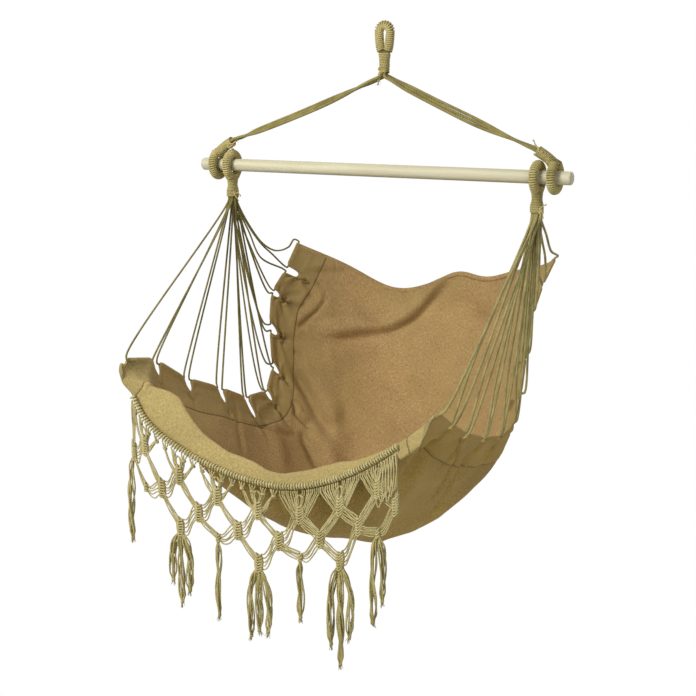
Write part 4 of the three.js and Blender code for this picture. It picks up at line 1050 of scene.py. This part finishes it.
# Turns of cord worked round a spindle, each dipping to the middle
def leafKnot(along, drop, halfWidth, halfHeight):
    turns = max(3, int(2 * halfHeight / 5.4))
    for j in range(turns):
        t = (j + 0.5) / turns
        half = halfWidth * math.sin(math.pi * mix(0.2, 0.8, t)) ** 0.8 - 1.6
        z = drop - halfHeight + t * 2 * halfHeight
        for tilt in (-1, 1):
            loopLine = []
            for k in range(13):
                a = 2 * math.pi * k / 12
                dip = 3.4 * abs(math.cos(a)) - 1.7 + tilt * 1.2 * math.cos(a)
                loopLine.append(netPlace(along + half * math.cos(a), z - dip, -(3.8 + 0.6 * tilt) * math.sin(a)))
            knots.add(np.array(loopLine), 2.0, plies=2, groove=0.2, phase=rng.random())
    inside = [netPlace(along, drop - halfHeight + 3), netPlace(along, drop), netPlace(along, drop + halfHeight - 3)]
    knotInsides.add(np.array(inside), 2 * halfWidth * 0.24, pitch=400)


def addStrand(points, thicker=1.0, phase=0.0):
    strands.add(smoothLine(points, fringe["step"]), fringe["strand"] * thicker, plies=2, pitch=7, sides=5, phase=phase)


# A strand from one place of the net to another: 'sway' 1 leaves and arrives sideways, 0 runs straight
def strand(start, end, droop, wave, sway, depth=0.0, before=()):
    seed = rng.random() * 6
    points = list(before)
    for share in np.linspace(0, 1, 9):
        middle = math.sin(math.pi * share)
        along = mix(start[0], end[0], share) + wave * middle * math.sin(6 * share + seed)
        drop = mix(start[1], end[1], mix(share, float(fade(share)), sway)) + droop * middle
        points.append(netPlace(along, drop + 0.5 * wave * middle * math.cos(8 * share + seed),
                               depth + 1.2 * math.sin(4 * share + seed)))
    addStrand(points, rng.uniform(0.92, 1.08), rng.random())


knots, strands = CordMesh(), CordMesh()
row = fringe["rowDrop"]
leaf = {"width": 23, "height": 40, "small": 13, "smallHeight": 18}


# Place and half size of a leaf knot: level 1 to 3, the third in the middle of a panel
def knotAt(i, level):
    if level == 2:
        return panelLine(i), 2 * row, leaf["width"] / 2, leaf["height"] / 2
    if level == 1 or isLeaf(i):
        return panelLine(i + 0.5), level * row, leaf["width"] / 2, leaf["height"] / 2
    return panelLine(i + 0.5), 2.6 * row, leaf["small"] / 2, leaf["smallHeight"] / 2


# Close straight cords from the lower side of one knot to the upper side of the next
def tightBand(a, b, side, count):
    for j in range(count):
        t = (j - (count - 1) / 2) * fringe["bandSpacing"]
        start = (a[0] + side * (a[2] * 0.45 + t * 0.45), a[1] + a[3] * 0.5 - t * 0.9)
        end = (b[0] - side * (b[2] * 0.55 - t * 0.45), b[1] - b[3] * 0.55 - t * 0.9)
        strand(start, end, 0.6, 0.6, 0, -1.5)


# Slack cords that leave one knot's side at different heights and nest as they swing to the other
def looseBand(a, b, side, count):
    for j in range(count):
        t = j / (count - 1)
        start = (a[0] + side * a[2] * 0.75, a[1] + a[3] * mix(-0.6, 1.0, t))
        end = (b[0] - side * b[2] * 0.75, b[1] + b[3] * mix(-1.0, 0.6, t))
        strand(start, end, 2.0 + 6.0 * t + 3.5 * rng.random(), 1.4, 0.8, 1.0)


# Rays of cord from the header down to a first row knot, as its dense panels have
def headRays(i, side, count):
    a = knotAt(i, 1)
    for j in range(count):
        t = j / (count - 1)
        place = a[0] + side * netPitch / 2 * mix(0.94, 0.1, t) + rng.normal(0, 0.6)
        start = (place, mix(17, 12, t) + rng.normal(0, 1))
        end = (a[0] + side * a[2] * mix(0.95, 0.15, t), a[1] + a[3] * mix(0.5, -0.85, t))
        strand(start, end, 0.6 + 0.8 * rng.random(), 0.5, 0.15, 1.5 * side, [netPlace(place + side, 6)])


# Cords from the header down to a first row knot, in two groups
def headBand(i, side, count):
    a = knotAt(i, 1)
    for j in range(count):
        t = j / (count - 1)
        group = a[0] + side * netPitch / 2 * (0.76 if j < count / 2 else 0.27)
        beside = (j % 3 - 1) * 7.5 + rng.normal(0, 0.8)
        start = (group + (j % 3 - 1) * 1.6, 19 + rng.normal(0, 1.2))
        end = (a[0] + side * a[2] * mix(0.75, 0.35, t), a[1] + a[3] * mix(0.3, -0.8, t))
        strand(start, end, 1.0 + 2.5 * rng.random(), 1.3, 0.15 if side < 0 else 0.6, 1.5 * side,
               [netPlace(group + beside, 6), netPlace(group + beside * 0.55, 13, -1)])
    for spot in (0.76, 0.27):  # each group is hitched where its cords meet
        at = a[0] + side * netPitch / 2 * spot
        ring = [netPlace(at + 4.2 * math.cos(turn), 19 + 1.2 * math.sin(turn * 0.5), -3.2 * math.sin(turn))
                for turn in np.linspace(0, 12.6, 22)]
        strands.add(np.array(ring), 1.7, plies=2, pitch=6, sides=5)


for i in range(fringe["panels"] + 1):
    leafKnot(*knotAt(i, 2))
for i in range(fringe["panels"]):
    dense = i >= fringe["dense"]
    first, low = knotAt(i, 1), knotAt(i, 3)
    leafKnot(*first)
    leafKnot(*low)
    for side, count in ((-1, 6), (1, 7)):
        if dense:
            headRays(i, side, 9)
        else:
            headBand(i, side, count)
    for side in (-1, 1):  # a petal of cord in front of each knot's head
        for size in (6, 10):
            top = [netPlace(first[0] + side * w, first[1] - first[3] - h, -2.5)
                   for w, h in ((1, -3), (size * 0.8, 5), (size, 14), (size * 0.45, 21), (1, 22))]
            addStrand(top)
    tightBand(first, knotAt(i + 1, 2), 1, 6 if dense else 4)
    (tightBand if i >= 5 else looseBand)(first, knotAt(i, 2), -1, 6)
    tightBand(knotAt(i, 2), low, 1, 5 if dense else 4)
    looseBand(knotAt(i + 1, 2), low, -1, 5)
for i, side in ((0, 1), (fringe["panels"], -1)):  # outer cords straight from the header
    end = knotAt(i, 2)
    for j in range(4):
        strand((end[0] + side * (j - 1) * 4, 7), (end[0] + (j - 1.5) * 3.4, end[1] - end[3] * 0.7), 0, 1.6, 0)
for j in range(6):  # long slack loops at the right end
    x = headerLength - 6 - 7.5 * j
    points = [netPlace(x - 1, 8, -3), netPlace(x + 3, 45 + 5 * j, -4), netPlace(x - 4 - j, 82 + 7 * (j % 3), -5),
              netPlace(x - 12 - j, 50 + 4 * j, -4), netPlace(x - 9, 8, -3)]
    addStrand(points)
headerPiece = header.build("fringeHeader", lighterFringeCord, "seat", "fringe_header_cord")
# The knots' cores take the painted shade cord, which stands in for the shade inside each knot
insidesPiece = knotInsides.build("knotInsides", paintedShadeCord, "seat")
knotsPiece = knots.build("leafKnots", lighterFringeCord, "seat", "fringe_net")
strandsPiece = strands.build("fringeStrands", lighterFringeCord, "seat")

tassel = {"radius": 4.2, "longest": 220, "yarn": 1.9, "yarns": 8, "loose": 6.4}
tasselShares = [[0, -0.5, 0.88], [1.5, -1, 0.53], [1.5, 0, 0.75], [1.5, 1, 0.61], [2.5, 0, 0.8], [3.5, -1, 0.73],
                [3.5, 0, 0.65], [3.5, 1, 0.65], [4.5, 0, 0.6], [5.5, -1, 0.81], [5.5, 0, 1], [5.5, 1, 0.7],
                [6.5, -0.5, 0.87], [6.5, 0.5, 0.64]]
for k, (place, aside, share) in enumerate(tasselShares):
    panel = int(place)
    level = (2 * row + 14) if place == panel else row * (3 if isLeaf(panel) else 2.6) + (14 if isLeaf(panel) else 7)
    top = netPlace(panelLine(place), level + gap)
    width, length = 2 * tassel["radius"] + gap, tassel["longest"] * share
    spine = smoothLine([top + vec(aside * w * width, 0, -down * length)
                        for w, down in ((0.6, -0.03), (1.5, 0.12), (2.4, 0.32), (2.4, 0.95))], 4)
    cord = CordMesh()
    along = lengthsAlong(spine)
    for j in range(tassel["yarns"] - (k in (0, 4, 8))):
        turn = 2 * math.pi * (j / tassel["yarns"] + along / rng.uniform(240, 420)) + rng.random()
        wave = 0.75 + 0.45 * np.sin(along / rng.uniform(20, 34) + 6 * rng.random())
        out = tassel["loose"] * wave * fade(along / 25) * (1 - 0.6 * fade((along - along[-1] + 22) / 16))
        line = spine + np.stack([out * np.cos(turn), out * np.sin(turn), 0 * along], axis=-1)
        cord.add(line, tassel["yarn"], plies=2, pitch=6, sides=5, phase=rng.random())
    end = spine[-1] + vec(0, 0, 4)
    ring = [end + vec(2.6 * math.cos(a), 2.6 * math.sin(a), 0.7 * math.sin(a * 0.7)) for a in np.linspace(0, 13, 26)]
    cord.add(np.array(ring), 1.5, plies=2, pitch=5, sides=5)
    for j in range(9):
        way = vec(rng.normal(0, 3.2), rng.normal(0, 3.2), -9 - 6 * rng.random())
        cord.add(np.array([end, end + way * 0.5 + vec(0, 0, 1), end + way]), 0.8, sides=4, taper=0.4)
    cord.build(f"fringeTassel_{k + 1}", tasselYarn, "seat", f"tassel_{k + 1}")

print("fringe made")

# Spreader bar: planed and sanded pine dowel, left bare, so growth rings run along it as faint
# streaks, the ends show end grain and the surface is satin at most
barLook = {"pale": "#C5BFA1", "mid": "#BAB393", "streak": "#B3A37C", "grain": 2.2, "broad": 9.091, "sides": 64}


def woodMaterial():
    look = barLook
    material = bpy.data.materials.new("barePineDowel")
    add = nodesOf(material)
    drawn = add("VectorMath", {"operation": "MULTIPLY"}, i0=add("TexCoord")["Object"], i1=(0.045, 1, 1))[0]
    fine = add("TexNoise", Vector=drawn, Scale=1000 / look["grain"], Detail=4.0, Roughness=0.65)[0]
    broad = add("TexNoise", Vector=drawn, Scale=1000 / look["broad"], Detail=2.0)[0]
    body = add("ValToRGB", {"stops": stopsAt((0.35, 0.62), (look["mid"], look["pale"]))}, Fac=broad)[0]
    streak = add("ValToRGB", {"stops": [(0.52, (0, 0, 0, 1)), (0.75, (0.55, 0.55, 0.55, 1))]}, Fac=fine)[0]
    color = add("Mix", {"data_type": "RGBA"}, Factor=streak, i6=body, i7=linear(look["streak"]))[2]
    bumped = add("Bump", Strength=0.25, Distance=0.0004, Height=fine)[0]
    add("OutputMaterial", Surface=add("BsdfPrincipled", Base_Color=color, Normal=bumped, Roughness=0.55)[0])
    return material


def buildBar():
    bm = bmesh.new()
    bmesh.ops.create_cone(bm, cap_ends=True, segments=barLook["sides"], radius1=bar["radius"] / 1000,
                          radius2=bar["radius"] / 1000, depth=bar["length"] / 1000)
    rims = [e for e in bm.edges if abs(e.verts[0].co.z - e.verts[1].co.z) < 1e-6]
    bmesh.ops.bevel(bm, geom=rims, offset=bar["edge"] / 1000, affect="EDGES", segments=5, profile=0.5, material=-1)
    bmesh.ops.rotate(bm, verts=bm.verts, matrix=Vector((0, 0, 1)).rotation_difference(Vector((1, 0, 0))).to_matrix())
    bmesh.ops.translate(bm, verts=bm.verts, vec=(bar["middleX"] / 1000, 0, bar["height"] / 1000))
    finishPiece("dowel", meshOf(bm, "dowel"), woodMaterial(), "bar", "pale_wood", "spreader_bar")


buildBar()
print("bar made")

# Studio: white sweep to the camera, plain soft light on the chair
studio = {"floor": -1.95, "world": 0.3, "floorColor": "#D8D8D6", "cameraWhite": 0.5, "clear": 0.35, "gone": 0.85}
lights = [
    {"name": "key", "place": (-1.05, -2.6, 1.15), "size": 1.5, "power": 105},
    {"name": "fill", "place": (2.6, -2.2, 0.3), "size": 2.6, "power": 20},
    {"name": "back", "place": (0.6, 2.6, 0.8), "size": 2.4, "power": 40},
]


# Share of the rays that see the background plainly, whatever the light
def seenPlainly(add):
    path = add("LightPath")
    seen = add("Math", {"operation": "MAXIMUM"}, i0=path["Is Camera Ray"], i1=path["Is Glossy Ray"])[0]
    return add("Math", {"operation": "MAXIMUM"}, i0=seen, i1=path["Is Transmission Ray"])[0]


def buildStudio():
    scene = bpy.context.scene
    scene.view_settings.view_transform = "Standard"
    scene.world = bpy.data.worlds.new("studio")
    add = nodesOf(scene.world)
    strength = add("MapRange", i0=seenPlainly(add), i3=studio["world"], i4=1.0)[0]
    add("OutputWorld", Surface=add("Background", i0=(1, 1, 1, 1), Strength=strength)[0])
    floorMaterial = bpy.data.materials.new("paintedFloor")
    add = nodesOf(floorMaterial)
    plain = add("BsdfDiffuse", Color=linear(studio["floorColor"]))[0]
    white = add("Emission", Color=(1, 1, 1, 1), Strength=1.0)[0]
    flat = add("VectorMath", {"operation": "MULTIPLY"}, i0=add("TexCoord")["Object"], i1=(1, 1, 0))[0]
    away = add("VectorMath", {"operation": "LENGTH"}, i0=flat)[1]
    whitened = add("MapRange", i0=away, i1=studio["clear"], i2=studio["gone"], i3=studio["cameraWhite"], i4=1.0)[0]
    part = add("Math", {"operation": "MULTIPLY"}, i0=seenPlainly(add), i1=whitened)[0]
    add("OutputMaterial", Surface=add("MixShader", Fac=part, i1=plain, i2=white)[0])
    bm = bmesh.new()
    bmesh.ops.create_grid(bm, x_segments=1, y_segments=1, size=9)
    bmesh.ops.translate(bm, verts=bm.verts, vec=(0, 0, studio["floor"]))
    floor = bpy.data.objects.new("floor", meshOf(bm, "floor"))
    floor.data.materials.append(floorMaterial)
    scene.collection.objects.link(floor)
    for light in lights:
        data = bpy.data.lights.new(light["name"], "AREA")
        data.shape = "DISK"
        data.size = light["size"]
        data.energy = light["power"]
        obj = bpy.data.objects.new(light["name"], data)
        obj.location = light["place"]
        obj.rotation_euler = (Vector(light["place"]) - Vector(camera["target"])).to_track_quat("Z", "Y").to_euler()
        scene.collection.objects.link(obj)


buildStudio()
print("studio made")
